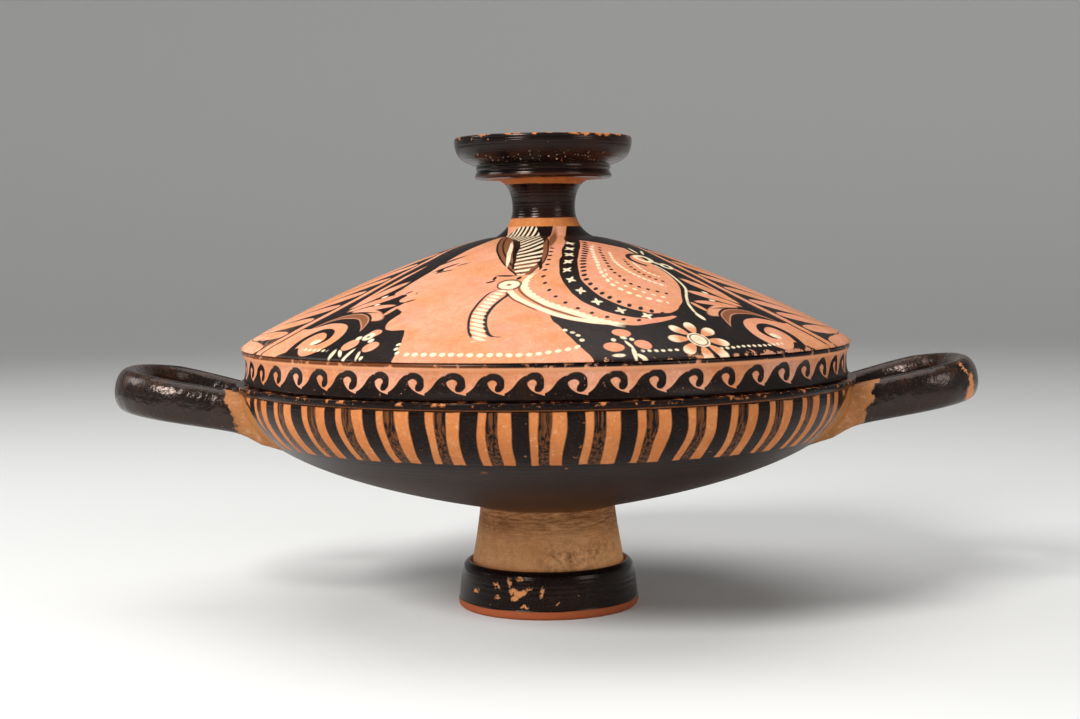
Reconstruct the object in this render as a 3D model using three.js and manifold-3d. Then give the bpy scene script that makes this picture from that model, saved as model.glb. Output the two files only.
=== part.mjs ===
// A lidded lekanis: a shallow two-handled clay dish on a short hollow foot, with a domed lid
// that is lifted by a dished knob. The bowl, its foot and its two handles are one fired piece,
// and the lid with its knob is the other. Millimetres, +Z up, origin under the middle of the foot.
import * as THREE from "three";
import { mergeVertices } from "three/addons/utils/BufferGeometryUtils.js";
import Module from "manifold-3d";

const wasm = await Module();
wasm.setup();

// Turning: facets round the axis, and points along each curve of a profile.
const TURN_FACETS = 56;
const SMALL_CURVE = 2;
const ROUND_CURVE = 3;
const LONG_CURVE = 7;

// Foot, from the floor up.
const FOOT_RADIUS = 37.7;
const FOOT_REST_WIDTH = 7;
const FOOT_EDGE_HEIGHT = 3.4;
const FOOT_EDGE_UNDERCUT = 1.2;
const FOOT_RING_HEIGHT = 18.8;
const FOOT_RING_LEAN = 3.4;
const FOOT_RING_GROOVE = 0.7;
const STEM_BASE_RADIUS = 31.7;
const STEM_TOP_RADIUS = 28.2;
const STEM_HEIGHT = 23;
const STEM_WALL = 7;
const HOLLOW_ROUNDING = [5, 1.5];
const HOLLOW_SHOULDER = 6;
const HOLLOW_CHAMFER = 1.5;

// Bowl, from the stem to the ledge that carries the lid.
const BOWL_HEIGHT = 53.8;
const BOWL_FLARE = [8.6, 2.8];
const BOWL_SHOULDER = [5.6, -32];
const BOWL_WALL = 5.4;
const BOWL_FLOOR = 8;
const LEDGE_OVERHANG = 2.6;
const LEDGE_THICKNESS = 2.6;
const LIP_WALL = 3.6;
const LIP_HEIGHT = 5;
const LIP_CLEARANCE = 1.2;
const EDGE_ROUNDING = 0.8;
const JOINT_FILLET = [1.4, 0.9];

// Lid, from the ledge to the knob.
const SEAT_GAP = 0.3;
const LID_RADIUS = 125;
const LID_WALL = 4.8;
const BAND_HEIGHT = 12.2;
const BAND_HOLLOW = 1;
const BAND_FOOT_STEP = 0.5;
const RIDGE_WIDTH = 1.3;
const DOME_RISE = 45.6;
const DOME_TOP_RADIUS = 20;
const DOME_SHOULDER = [11.3, -1.3];
const DOME_CROWN = [30, -3.4];

// Knob: a waisted stem, a flared collar and a shallow dish.
const KNOB_STEM_RADIUS = 13;
const KNOB_STEM_HEIGHT = 23.8;
const KNOB_STEM_FLARE = [5.5, 3];
const KNOB_STEM_ROOT = 4;
const COLLAR_RADIUS = 28.5;
const COLLAR_HEIGHT = 5.6;
const COLLAR_WAIST = 0.7;
const DISH_RADIUS = 36.8;
const DISH_HEIGHT = 11.4;
const DISH_WALL = 4.2;
const DISH_DEPTH = 9;
const DISH_FLOOR_SHARE = 0.72;

// Handles: an upright strap bent into a horizontal loop that rises outwards.
const HANDLE_REACH = 178.4;
const HANDLE_HALF_WIDTH = 37;
const HANDLE_ROOT_X = 96;
const HANDLE_BEND_X = 142;
const HANDLE_SQUARENESS = 2.4;
const HANDLE_STEPS = 10;
const STRAP_THICKNESS = 10;
const STRAP_HEIGHT = 17;
const STRAP_EDGE_WIDTH = 4;
const STRAP_EDGE_HEIGHT = 6;
const STRAP_EDGE_FACETS = 3;
const STRAP_DROP = 9.8;
const STRAP_TAPER = 0.1;
const STRAP_TAPER_START = 160;
const ROOT_FLARE = 4.5;
const ROOT_FLARE_START = 132;
const LEFT_RISE_DEG = 9.2;
const RIGHT_RISE_DEG = 9.8;

// Heights that follow from the sizes above.
const stemTopZ = FOOT_RING_HEIGHT + STEM_HEIGHT;
const ledgeZ = stemTopZ + BOWL_HEIGHT;
const seatZ = ledgeZ + SEAT_GAP;
const ledgeRadius = LID_RADIUS + LEDGE_OVERHANG;
const bandInnerRadius = LID_RADIUS - BAND_HOLLOW - LID_WALL;
const lipOuterRadius = bandInnerRadius - LIP_CLEARANCE;
const lipInnerRadius = lipOuterRadius - LIP_WALL;
const ridgeZ = seatZ + BAND_HEIGHT;
const domeTopZ = ridgeZ + DOME_RISE;
const collarZ = domeTopZ + KNOB_STEM_HEIGHT;
const dishZ = collarZ + COLLAR_HEIGHT;

// Materials: fired clay, and the dark gloss of its slip.
const firedClay = new THREE.MeshStandardMaterial({ color: 0xc98a5c, roughness: 0.7, metalness: 0 });
const paintedClay = new THREE.MeshStandardMaterial({ color: 0x8a5a3c, roughness: 0.45, metalness: 0 });

const at = (radius, height) => new THREE.Vector2(radius, height);

// Points of a bent stretch of profile, without its first point.
function bend(count, ...controls) {
  const curve = controls.length === 3
    ? new THREE.QuadraticBezierCurve(...controls)
    : new THREE.CubicBezierCurve(...controls);
  return curve.getPoints(count).slice(1);
}

// The same profile moved inwards by a wall's thickness.
function wallInside(points, thickness) {
  return points.map((point, i) => {
    const before = points[Math.max(i - 1, 0)];
    const after = points[Math.min(i + 1, points.length - 1)];
    const along = after.clone().sub(before).normalize();
    return at(point.x - along.y * thickness, point.y + along.x * thickness);
  });
}

// A closed mesh, merged into one manifold solid.
function solidOf(geometry) {
  const bare = geometry.index ? geometry.toNonIndexed() : geometry.clone();
  bare.deleteAttribute("normal");
  bare.deleteAttribute("uv");
  const merged = mergeVertices(bare, 1e-3);
  return new wasm.Manifold(new wasm.Mesh({
    numProp: 3,
    vertProperties: merged.attributes.position.array,
    triVerts: new Uint32Array(merged.index.array),
  }));
}

// A manifold solid turned back into a geometry.
function geometryOf(solid) {
  const mesh = solid.getMesh();
  const geometry = new THREE.BufferGeometry();
  geometry.setAttribute("position", new THREE.BufferAttribute(new Float32Array(mesh.vertProperties), 3));
  geometry.setIndex(new THREE.BufferAttribute(new Uint32Array(mesh.triVerts), 1));
  return geometry;
}

// A profile turned round the upright axis.
function turned(points) {
  return new THREE.LatheGeometry(points, TURN_FACETS).rotateX(Math.PI / 2);
}

// The outside of the bowl, from the top of the stem to the underside of the ledge.
function bowlOutside() {
  const start = at(...JOINT_FILLET).add(at(STEM_TOP_RADIUS, stemTopZ));
  const end = at(ledgeRadius - 1.4, ledgeZ - LEDGE_THICKNESS);
  const flare = at(...BOWL_FLARE).add(start);
  const shoulder = at(...BOWL_SHOULDER).add(end);
  return [start, ...bend(LONG_CURVE, start, flare, shoulder, end)];
}

// The inside of the bowl, from the foot of the lip to the middle of the floor.
function bowlInside() {
  const shell = wallInside(bowlOutside(), BOWL_WALL)
    .filter((p) => p.x < lipInnerRadius - EDGE_ROUNDING && p.y > stemTopZ + BOWL_FLOOR * 0.75)
    .reverse();
  return [at(lipInnerRadius, ledgeZ - LEDGE_THICKNESS), ...shell, at(0, stemTopZ + BOWL_FLOOR)];
}

// The whole turned body: hollow foot, bowl, ledge and lip.
function bodyProfile() {
  const restInner = FOOT_RADIUS - FOOT_EDGE_UNDERCUT - FOOT_REST_WIDTH;
  const restOuter = at(FOOT_RADIUS - FOOT_EDGE_UNDERCUT, 0);
  const hollowTop = stemTopZ - BOWL_WALL;
  const hollowRadius = STEM_TOP_RADIUS - STEM_WALL;
  const [hollowInset, hollowDrop] = HOLLOW_ROUNDING;
  const edge = at(FOOT_RADIUS, FOOT_EDGE_HEIGHT);
  const ringSide = at(FOOT_RADIUS - FOOT_RING_LEAN * 0.6, FOOT_RING_HEIGHT * 0.68);
  const ringTop = at(FOOT_RADIUS - FOOT_RING_LEAN, FOOT_RING_HEIGHT);
  const stemFoot = at(STEM_BASE_RADIUS, FOOT_RING_HEIGHT - FOOT_RING_GROOVE);
  const stemWaist = at(STEM_TOP_RADIUS, stemTopZ - STEM_HEIGHT * 0.5);
  const stemTop = at(STEM_TOP_RADIUS, stemTopZ - EDGE_ROUNDING);
  const outside = bowlOutside();
  const ledgeEdge = at(ledgeRadius, ledgeZ - EDGE_ROUNDING);
  const lipTop = ledgeZ + LIP_HEIGHT;
  return [
    at(0, hollowTop),
    at(hollowRadius - hollowInset, hollowTop - hollowDrop),
    at(hollowRadius, hollowTop - HOLLOW_SHOULDER),
    at(STEM_BASE_RADIUS - STEM_WALL, FOOT_RING_HEIGHT * 0.8),
    at(restInner - HOLLOW_CHAMFER, HOLLOW_CHAMFER),
    at(restInner, 0),
    restOuter,
    ...bend(SMALL_CURVE, restOuter, at(FOOT_RADIUS, EDGE_ROUNDING), edge),
    ringSide,
    ...bend(ROUND_CURVE, ringSide, at(ringTop.x, ringTop.y + EDGE_ROUNDING), at(ringTop.x - EDGE_ROUNDING * 2, ringTop.y)),
    stemFoot,
    ...bend(ROUND_CURVE, stemFoot, stemWaist, stemTop),
    ...outside,
    ...bend(SMALL_CURVE, outside.at(-1), at(ledgeRadius, ledgeZ - LEDGE_THICKNESS), ledgeEdge),
    at(ledgeRadius - EDGE_ROUNDING, ledgeZ),
    at(lipOuterRadius, ledgeZ),
    at(lipOuterRadius, lipTop - EDGE_ROUNDING),
    at(lipOuterRadius - EDGE_ROUNDING, lipTop),
    at(lipInnerRadius + EDGE_ROUNDING, lipTop),
    at(lipInnerRadius, lipTop - EDGE_ROUNDING),
    ...bowlInside(),
  ];
}

// The space inside the bowl, closed above the lip, for trimming what reaches into it.
function hollowProfile() {
  const top = ledgeZ + LIP_HEIGHT * 2;
  return [at(0, top), at(lipInnerRadius, top), ...bowlInside()].reverse();
}

// One handle's loop, seen from above: a squared-off half ring with straight legs.
function loopOutline() {
  const arc = (reach, halfWidth) => {
    const points = [];
    for (let i = 0; i <= HANDLE_STEPS; i++) {
      const turn = Math.PI * (i / HANDLE_STEPS - 0.5);
      const across = Math.sign(Math.sin(turn)) * Math.abs(Math.sin(turn)) ** (2 / HANDLE_SQUARENESS);
      const out = Math.abs(Math.cos(turn)) ** (2 / HANDLE_SQUARENESS);
      points.push(at(HANDLE_BEND_X + (reach - HANDLE_BEND_X) * out, halfWidth * across));
    }
    return points;
  };
  const outer = arc(HANDLE_REACH, HANDLE_HALF_WIDTH);
  const inner = arc(HANDLE_REACH - STRAP_THICKNESS, HANDLE_HALF_WIDTH - STRAP_THICKNESS).reverse();
  return [
    at(HANDLE_ROOT_X, -HANDLE_HALF_WIDTH),
    ...outer,
    at(HANDLE_ROOT_X, HANDLE_HALF_WIDTH),
    at(HANDLE_ROOT_X, HANDLE_HALF_WIDTH - STRAP_THICKNESS),
    ...inner,
    at(HANDLE_ROOT_X, STRAP_THICKNESS - HANDLE_HALF_WIDTH),
  ];
}

// One handle on the +X side: the loop raised to the strap's height, flared down at its roots, and tilted up.
function handleSolid(riseDeg) {
  const loop = new THREE.ExtrudeGeometry(new THREE.Shape(loopOutline()), {
    depth: STRAP_HEIGHT - STRAP_EDGE_HEIGHT * 2,
    bevelThickness: STRAP_EDGE_HEIGHT,
    bevelSize: STRAP_EDGE_WIDTH,
    bevelOffset: -STRAP_EDGE_WIDTH,
    bevelSegments: STRAP_EDGE_FACETS,
  });
  loop.translate(0, 0, STRAP_EDGE_HEIGHT - STRAP_HEIGHT / 2);
  const place = loop.attributes.position;
  for (let i = 0; i < place.count; i++) {
    const high = 0.5 + place.getZ(i) / STRAP_HEIGHT;
    const taper = STRAP_TAPER * Math.max(STRAP_TAPER_START - place.getX(i), 0);
    const root = Math.max(ROOT_FLARE_START - place.getX(i), 0) / (ROOT_FLARE_START - HANDLE_ROOT_X);
    place.setZ(i, place.getZ(i) - taper * high - ROOT_FLARE * root * root * (1 - high));
  }
  const tilt = THREE.MathUtils.degToRad(riseDeg);
  loop.translate(-LID_RADIUS, 0, 0);
  loop.rotateY(-tilt);
  loop.translate(LID_RADIUS + (HANDLE_REACH - LID_RADIUS) * (1 - Math.cos(tilt)), 0, ledgeZ - STRAP_DROP);
  return solidOf(loop);
}

function bowl() {
  const right = handleSolid(RIGHT_RISE_DEG);
  const left = handleSolid(LEFT_RISE_DEG).rotate([0, 0, 180]);
  const handles = right.add(left).subtract(solidOf(turned(hollowProfile())));
  const mesh = new THREE.Mesh(geometryOf(solidOf(turned(bodyProfile())).add(handles)), paintedClay);
  mesh.name = "bowl";
  return mesh;
}

// The outside of the dome, from the ridge to the root of the knob's stem.
function domeOutside() {
  const start = at(LID_RADIUS - RIDGE_WIDTH * 0.5, ridgeZ + RIDGE_WIDTH);
  const end = at(DOME_TOP_RADIUS, domeTopZ);
  const shoulder = at(...DOME_SHOULDER).add(start);
  const crown = at(...DOME_CROWN).add(end);
  return [start, ...bend(LONG_CURVE + 2, start, shoulder, crown, end)];
}

function lidProfile() {
  const dome = domeOutside();
  const underside = wallInside(dome, LID_WALL)
    .filter((p) => p.x < bandInnerRadius - EDGE_ROUNDING * 2)
    .reverse();
  const bandFoot = at(LID_RADIUS - BAND_FOOT_STEP, seatZ);
  const bandWaist = at(LID_RADIUS - BAND_HOLLOW * 2, ridgeZ - BAND_HEIGHT * 0.5);
  const ridge = at(LID_RADIUS, ridgeZ);
  const stemMid = at(KNOB_STEM_RADIUS, domeTopZ + KNOB_STEM_HEIGHT * 0.5);
  const stemRoot = at(KNOB_STEM_RADIUS, domeTopZ + KNOB_STEM_ROOT);
  const [flareWidth, flareHeight] = KNOB_STEM_FLARE;
  const stemTop = at(KNOB_STEM_RADIUS + flareWidth, collarZ - EDGE_ROUNDING * 0.6);
  const collar = at(COLLAR_RADIUS, collarZ + EDGE_ROUNDING);
  const dishFoot = at(COLLAR_RADIUS, dishZ);
  const dishTop = dishZ + DISH_HEIGHT;
  const dishFlank = at(DISH_RADIUS - EDGE_ROUNDING, dishZ + DISH_HEIGHT * 0.32);
  const dishSide = at(DISH_RADIUS, dishTop - EDGE_ROUNDING * 2);
  const rimOuter = at(DISH_RADIUS - EDGE_ROUNDING, dishTop);
  const rimInner = at(DISH_RADIUS - DISH_WALL + EDGE_ROUNDING, dishTop);
  const dishInner = DISH_RADIUS - DISH_WALL;
  const dishFloor = at(dishInner * DISH_FLOOR_SHARE, dishTop - DISH_DEPTH);
  return [
    at(0, underside[0].y + EDGE_ROUNDING),
    ...underside,
    at(bandInnerRadius, ridgeZ - RIDGE_WIDTH),
    at(bandInnerRadius, seatZ),
    bandFoot,
    ...bend(SMALL_CURVE, bandFoot, bandWaist, ridge),
    ...dome,
    ...bend(ROUND_CURVE, dome.at(-1), stemRoot, stemMid),
    ...bend(ROUND_CURVE, stemMid, at(KNOB_STEM_RADIUS, collarZ - flareHeight), stemTop),
    at(COLLAR_RADIUS - EDGE_ROUNDING, collarZ),
    collar,
    at(COLLAR_RADIUS - COLLAR_WAIST, collarZ + COLLAR_HEIGHT * 0.55),
    dishFoot,
    ...bend(ROUND_CURVE, dishFoot, dishFlank, dishSide),
    rimOuter,
    rimInner,
    ...bend(SMALL_CURVE, rimInner, at(dishInner, dishFloor.y), dishFloor),
    at(0, dishFloor.y),
  ];
}

function lid() {
  const mesh = new THREE.Mesh(turned(lidProfile()), firedClay);
  mesh.name = "lid";
  return mesh;
}

const lekanis = new THREE.Group();
lekanis.add(bowl(), lid());
export default lekanis;
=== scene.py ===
# %% [markdown]
# # A painted clay lekanis
# A lekanis is a shallow two-handled dish on a short foot, with a domed lid that is lifted by
# a dished knob. Both pieces were thrown on a wheel, painted in a dark slip that fires to a
# gloss, and touched up in white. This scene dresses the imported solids: it keeps their sizes,
# and adds the finer mouldings, the painting and the wear.

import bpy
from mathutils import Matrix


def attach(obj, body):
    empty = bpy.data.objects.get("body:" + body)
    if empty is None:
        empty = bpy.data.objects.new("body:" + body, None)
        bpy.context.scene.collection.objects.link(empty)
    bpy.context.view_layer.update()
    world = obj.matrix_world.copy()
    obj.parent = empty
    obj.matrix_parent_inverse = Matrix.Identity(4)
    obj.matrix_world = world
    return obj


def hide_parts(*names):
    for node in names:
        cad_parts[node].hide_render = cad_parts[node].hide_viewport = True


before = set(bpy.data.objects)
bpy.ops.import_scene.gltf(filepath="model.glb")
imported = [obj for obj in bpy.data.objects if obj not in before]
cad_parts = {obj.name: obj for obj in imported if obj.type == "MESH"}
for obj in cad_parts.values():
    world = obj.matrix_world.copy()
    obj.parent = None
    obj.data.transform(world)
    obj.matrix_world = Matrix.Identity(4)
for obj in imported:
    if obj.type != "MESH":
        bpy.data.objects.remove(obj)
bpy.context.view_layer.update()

# %% [markdown]
# ## Camera
# The camera stands about three lid-widths in front of the vessel, a little above the lid's
# edge, so the dome is seen at a slant and the bowl from just below its rim. It could be
# pointed with a constraint, but three angles and a place say the same thing and stay put.

# %% Place the camera
import math

import bpy
from mathutils import Euler, Matrix, Vector

MM = 0.001
CAMERA_DISTANCE = 727.1
CAMERA_HEIGHT = 150.4
CAMERA_PITCH_DEG = 3.775
CAMERA_ROLL_DEG = -0.767
CAMERA_YAW_DEG = 0.187
LENS_SHARE = 1745 / 1080
SENSOR_WIDTH = 36

camera = bpy.data.objects.new("camera", bpy.data.cameras.new("camera"))
bpy.context.scene.collection.objects.link(camera)
camera.data.sensor_width = SENSOR_WIDTH
camera.data.lens = SENSOR_WIDTH * LENS_SHARE
facing = Euler((math.radians(90 - CAMERA_PITCH_DEG), 0, math.radians(CAMERA_YAW_DEG))).to_matrix()
roll = Matrix.Rotation(math.radians(CAMERA_ROLL_DEG), 3, "Z")
camera.matrix_world = (
    Matrix.Translation((0, -CAMERA_DISTANCE * MM, CAMERA_HEIGHT * MM)) @ (facing @ roll).to_4x4()
)
bpy.context.scene.camera = camera
print("lens, mm:", round(camera.data.lens, 2))

# %% [markdown]
# ## Turning a profile
# A potter shapes a wall by holding a tool still while the clay turns. The same thing is done
# here: a line of points on one side of the axis is spun round it. The points come from short
# lists of corners, each with its own rounding, and from smooth curves between them.

# %% Helpers for profiles
import bmesh
from mathutils.geometry import interpolate_bezier

TURN_STEPS = 240
ROUNDING_STEPS = 4
MERGE_DISTANCE = 0.002
SHARP_EDGE_DEG = 48


def bend(start, first, last, end, steps):
    """Points of one smooth curve of a profile, in millimetres, without its first point."""
    points = interpolate_bezier(*(Vector((*p, 0)) for p in (start, first, last, end)), steps + 1)
    return [(p.x, p.y) for p in points[1:]]


def hook(start, control, end, steps=ROUNDING_STEPS):
    """A curve that is pulled towards one point only."""
    first = [a + (b - a) * 2 / 3 for a, b in zip(start, control)]
    last = [a + (b - a) * 2 / 3 for a, b in zip(end, control)]
    return bend(start, first, last, end, steps)


def softened(corners):
    """A run of corners (radius, height, rounding) as points, each corner rounded off."""
    points = []
    for i, (radius, height, rounding) in enumerate(corners):
        here = Vector((radius, height))
        if rounding == 0 or i in (0, len(corners) - 1):
            points.append(tuple(here))
            continue
        before = Vector(corners[i - 1][:2]) - here
        after = Vector(corners[i + 1][:2]) - here
        start = here + before.normalized() * min(rounding, before.length * 0.48)
        end = here + after.normalized() * min(rounding, after.length * 0.48)
        points += [tuple(start)] + hook(start, here, end)
    return points


def turned(profile, steps=TURN_STEPS):
    """A profile spun round the upright axis, with its faces turned outwards."""
    shape = bmesh.new()
    points = [shape.verts.new((radius * MM, 0, height * MM)) for radius, height in profile]
    lines = [shape.edges.new(pair) for pair in zip(points, points[1:])]
    bmesh.ops.spin(
        shape, geom=points + lines, cent=(0, 0, 0), axis=(0, 0, 1),
        angle=math.tau, steps=steps, use_merge=True,
    )
    bmesh.ops.remove_doubles(shape, verts=shape.verts, dist=MERGE_DISTANCE * MM)
    bmesh.ops.recalc_face_normals(shape, faces=shape.faces)
    return shape


def placed(name, shape):
    """A bmesh as a smooth-shaded object at the origin."""
    mesh = bpy.data.meshes.new(name)
    shape.to_mesh(mesh)
    shape.free()
    thing = bpy.data.objects.new(name, mesh)
    bpy.context.scene.collection.objects.link(thing)
    mesh.shade_smooth()
    return thing


# %% [markdown]
# ## The bowl's sizes
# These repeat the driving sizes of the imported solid, in millimetres from the floor up, so
# the dressed bowl fills exactly the same space.

# %% Sizes of foot, bowl and ledge
FOOT_RADIUS = 37.7
FOOT_REST_WIDTH = 7
FOOT_EDGE_UNDERCUT = 1.2
FOOT_EDGE_HEIGHT = 3.4
FOOT_RING_HEIGHT = 18.8
FOOT_RING_LEAN = 3.4
FOOT_RING_GROOVE = 0.7
STEM_BASE_RADIUS = 31.7
STEM_TOP_RADIUS = 28.2
STEM_TOP = 41.8
STEM_WALL = 7
BOWL_WALL = 5.4
BOWL_FLOOR = 8
LEDGE_TOP = 95.6
LEDGE_RADIUS = 127.6
LEDGE_THICKNESS = 2.6
LIP_OUTER = 118
LIP_INNER = 114.4
LIP_HEIGHT = 5
WALL_START = (29.6, 42.7)
WALL_END = (126.2, 93.0)

# %% [markdown]
# ## The bowl
# One turned piece: a hollow foot with a thick ring, a plain stem, a wide shallow bowl and a
# ledge with an upright lip inside it, which keeps the lid from sliding. The ring has a small
# step where the potter trimmed it, and the ledge stands a little over the wall.

# %% Turn the bowl
bowl_outside = [WALL_START] + bend(WALL_START, (38.2, 45.5), (131.8, 61.0), WALL_END, 44)
bowl_inside = [
    (radius - BOWL_WALL * 0.8, height + BOWL_WALL * 0.62)
    for radius, height in bowl_outside[::-1]
    if 48 < radius and height < 88
]
foot_hollow = softened([
    (0, STEM_TOP - BOWL_WALL, 0),
    (16.2, STEM_TOP - BOWL_WALL - 1.5, 2),
    (STEM_TOP_RADIUS - STEM_WALL, STEM_TOP - 6, 3),
    (STEM_BASE_RADIUS - STEM_WALL, FOOT_RING_HEIGHT * 0.8, 4),
    (FOOT_RADIUS - FOOT_EDGE_UNDERCUT - FOOT_REST_WIDTH - 1.5, 1.5, 1),
    (FOOT_RADIUS - FOOT_EDGE_UNDERCUT - FOOT_REST_WIDTH, 0, 0),
])
foot_ring = softened([
    (FOOT_RADIUS - FOOT_EDGE_UNDERCUT, 0, 0),
    (FOOT_RADIUS, 0.9, 1.2),
    (FOOT_RADIUS, FOOT_EDGE_HEIGHT + 0.2, 0.5),
    (FOOT_RADIUS - 0.3, FOOT_EDGE_HEIGHT + 0.5, 0.3),
    (FOOT_RADIUS - 1.1, 11.8, 4),
    (FOOT_RADIUS - 1.8, FOOT_RING_HEIGHT - 1.8, 2.4),
    (FOOT_RADIUS - FOOT_RING_LEAN - 0.4, FOOT_RING_HEIGHT + 0.1, 1),
    (STEM_BASE_RADIUS + 0.9, FOOT_RING_HEIGHT + 0.1, 0.5),
    (STEM_BASE_RADIUS, FOOT_RING_HEIGHT - FOOT_RING_GROOVE, 0),
])
stem_foot = (STEM_BASE_RADIUS, FOOT_RING_HEIGHT)
stem = hook(stem_foot, (29.4, 31.0), (STEM_TOP_RADIUS, STEM_TOP - 0.6), 14)
ledge = softened([
    WALL_END + (0,),
    (127.2, 93.1, 0.5),
    (LEDGE_RADIUS, 93.9, 0.4),
    (LEDGE_RADIUS, LEDGE_TOP - 0.1, 0.6),
    (LIP_OUTER, LEDGE_TOP, 0.6),
    (LIP_OUTER, LEDGE_TOP + LIP_HEIGHT, 1),
    (LIP_INNER, LEDGE_TOP + LIP_HEIGHT, 1),
    (LIP_INNER, LEDGE_TOP - LEDGE_THICKNESS, 1.5),
    bowl_inside[0] + (0,),
])
bowl_profile = (
    foot_hollow + foot_ring + stem + hook(stem[-1], (STEM_TOP_RADIUS, 42.3), WALL_START)
    + bowl_outside[1:] + ledge[1:-1] + bowl_inside + [(0, STEM_TOP + BOWL_FLOOR)]
)
bowl_shape = turned(bowl_profile)
print("bowl faces:", len(bowl_shape.faces))

# %% [markdown]
# ## The handles
# Each handle is a flat strap of clay set on edge and bent into a squared half ring. It was
# pressed on while damp, so its two roots spread into the wall, the front one a little higher
# than the back one. A rounded strip is walked along the ring step by step here, which keeps
# its section upright all the way, as a curve's bevel would not.

# %% Sizes of the handles
HANDLE_REACH = 178.4
HANDLE_HALF_WIDTH = 37
HANDLE_ROOT_X = 96
HANDLE_BEND_X = 142
HANDLE_SQUARENESS = 2.4
STRAP_THICKNESS = 10
STRAP_HEIGHT = 17
STRAP_DROP = 9.8
STRAP_CORNER = 4.6
STRAP_CORNER_STEPS = 8
STRAP_TAPER_FRONT = 0.02
STRAP_TAPER_BACK = 0.1
STRAP_TAPER_START = 160
ROOT_FLARE = 3.2
ROOT_FLARE_START = 132
ROOT_SPREAD = 3.4
ROOT_SPREAD_START = 124
ROOT_SPREAD_LENGTH = 12
ROOT_SPREAD_SIDEWAYS = 4
ROOT_SPREAD_UPWARDS = 1.2
LID_RADIUS = 125
RISES_DEG = {"right": 9.8, "left": 9.2}
PATH_STEPS = 56


def strap_path():
    """Places and headings of the strap's middle line, seen from above, in millimetres."""
    reach = HANDLE_REACH - STRAP_THICKNESS / 2 - HANDLE_BEND_X
    half = HANDLE_HALF_WIDTH - STRAP_THICKNESS / 2
    places = [Vector((x, -half, 0)) for x in range(HANDLE_ROOT_X, HANDLE_BEND_X, 3)]
    for i in range(PATH_STEPS + 1):
        turn = math.pi * (i / PATH_STEPS - 0.5)
        across = math.copysign(abs(math.sin(turn)) ** (2 / HANDLE_SQUARENESS), turn)
        out = abs(math.cos(turn)) ** (2 / HANDLE_SQUARENESS)
        places.append(Vector((HANDLE_BEND_X + reach * out, half * across, 0)))
    places += [Vector((x, half, 0)) for x in range(HANDLE_BEND_X - 4, HANDLE_ROOT_X - 1, -3)]
    headings = [(b - a).normalized() for a, b in zip(places, places[2:])]
    headings = [headings[0]] + headings + [headings[-1]]
    return list(zip(places, headings))


# %% Walk the strap round
UPRIGHT = Matrix(((1, 0, 0), (0, 0, -1), (0, 1, 0)))


def stand(place, heading):
    """The turn and the move that set the flat section up across the path."""
    turn = math.atan2(heading.x, -heading.y)
    return Matrix.Translation(place) @ (Matrix.Rotation(turn, 3, "Z") @ UPRIGHT).to_4x4()


def strap_section(shape):
    """The strap's section with its corners rounded off, first as a square and then pulled tall."""
    corners = bmesh.ops.create_grid(shape, x_segments=1, y_segments=1, size=0.5)["verts"]
    bmesh.ops.scale(shape, verts=corners, vec=(STRAP_THICKNESS, STRAP_THICKNESS, 1))
    bmesh.ops.bevel(
        shape, geom=corners, offset=STRAP_CORNER, affect="VERTICES",
        segments=STRAP_CORNER_STEPS, profile=0.5, material=-1,
    )
    bmesh.ops.scale(shape, verts=shape.verts, vec=(1, STRAP_HEIGHT / STRAP_THICKNESS, 1))


def walk(shape, path):
    """Draws the section out along the path and closes its far end."""
    now = stand(*path[0])
    bmesh.ops.transform(shape, matrix=now, verts=shape.verts)
    ring = list(shape.edges)
    for place, heading in path[1:]:
        before, now = now, stand(place, heading)
        grown = bmesh.ops.extrude_edge_only(shape, edges=ring)["geom"]
        moved = [part for part in grown if isinstance(part, bmesh.types.BMVert)]
        ring = [part for part in grown if isinstance(part, bmesh.types.BMEdge)
                and all(v in grown for v in part.verts)]
        bmesh.ops.transform(shape, matrix=now @ before.inverted(), verts=moved)
    bmesh.ops.edgeloop_fill(shape, edges=ring)


def press_roots(shape, side):
    """Thins the strap from its bend to the wall, and spreads both roots where they were pressed."""
    middle = HANDLE_HALF_WIDTH - STRAP_THICKNESS / 2
    towards_viewer = -1 if side == "right" else 1
    for v in shape.verts:
        high = 0.5 + v.co.z / STRAP_HEIGHT
        front = min(max(0.5 + 0.5 * towards_viewer * v.co.y / middle, 0), 1)
        taper = STRAP_TAPER_BACK + (STRAP_TAPER_FRONT - STRAP_TAPER_BACK) * front
        v.co.z -= taper * max(STRAP_TAPER_START - v.co.x, 0) * high
        root = max(ROOT_FLARE_START - v.co.x, 0) / (ROOT_FLARE_START - HANDLE_ROOT_X)
        v.co.z -= ROOT_FLARE * root**2 * (1 - high)
        spread = min(max(ROOT_SPREAD_START - v.co.x, 0) / ROOT_SPREAD_LENGTH, 1) ** 2 * ROOT_SPREAD
        sideways = math.copysign(ROOT_SPREAD_SIDEWAYS, v.co.y)
        v.co.y += spread * (abs(v.co.y) - middle) / middle * sideways
        v.co.z += spread * (high - 0.6) * ROOT_SPREAD_UPWARDS


def lift(shape, side):
    """Tilts the strap upwards round the lid's edge and moves it to its side, in metres."""
    tilt = math.radians(RISES_DEG[side])
    origin = (0, 0, 0)
    verts = shape.verts
    bmesh.ops.translate(shape, vec=(-LID_RADIUS, 0, 0), verts=verts)
    bmesh.ops.rotate(shape, cent=origin, matrix=Matrix.Rotation(-tilt, 3, "Y"), verts=verts)
    slide = LID_RADIUS + (HANDLE_REACH - LID_RADIUS) * (1 - math.cos(tilt))
    bmesh.ops.translate(shape, vec=(slide, 0, LEDGE_TOP - STRAP_DROP), verts=verts)
    if side == "left":
        bmesh.ops.rotate(shape, cent=origin, matrix=Matrix.Rotation(math.pi, 3, "Z"), verts=verts)
    bmesh.ops.scale(shape, vec=(MM, MM, MM), verts=verts)


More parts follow.
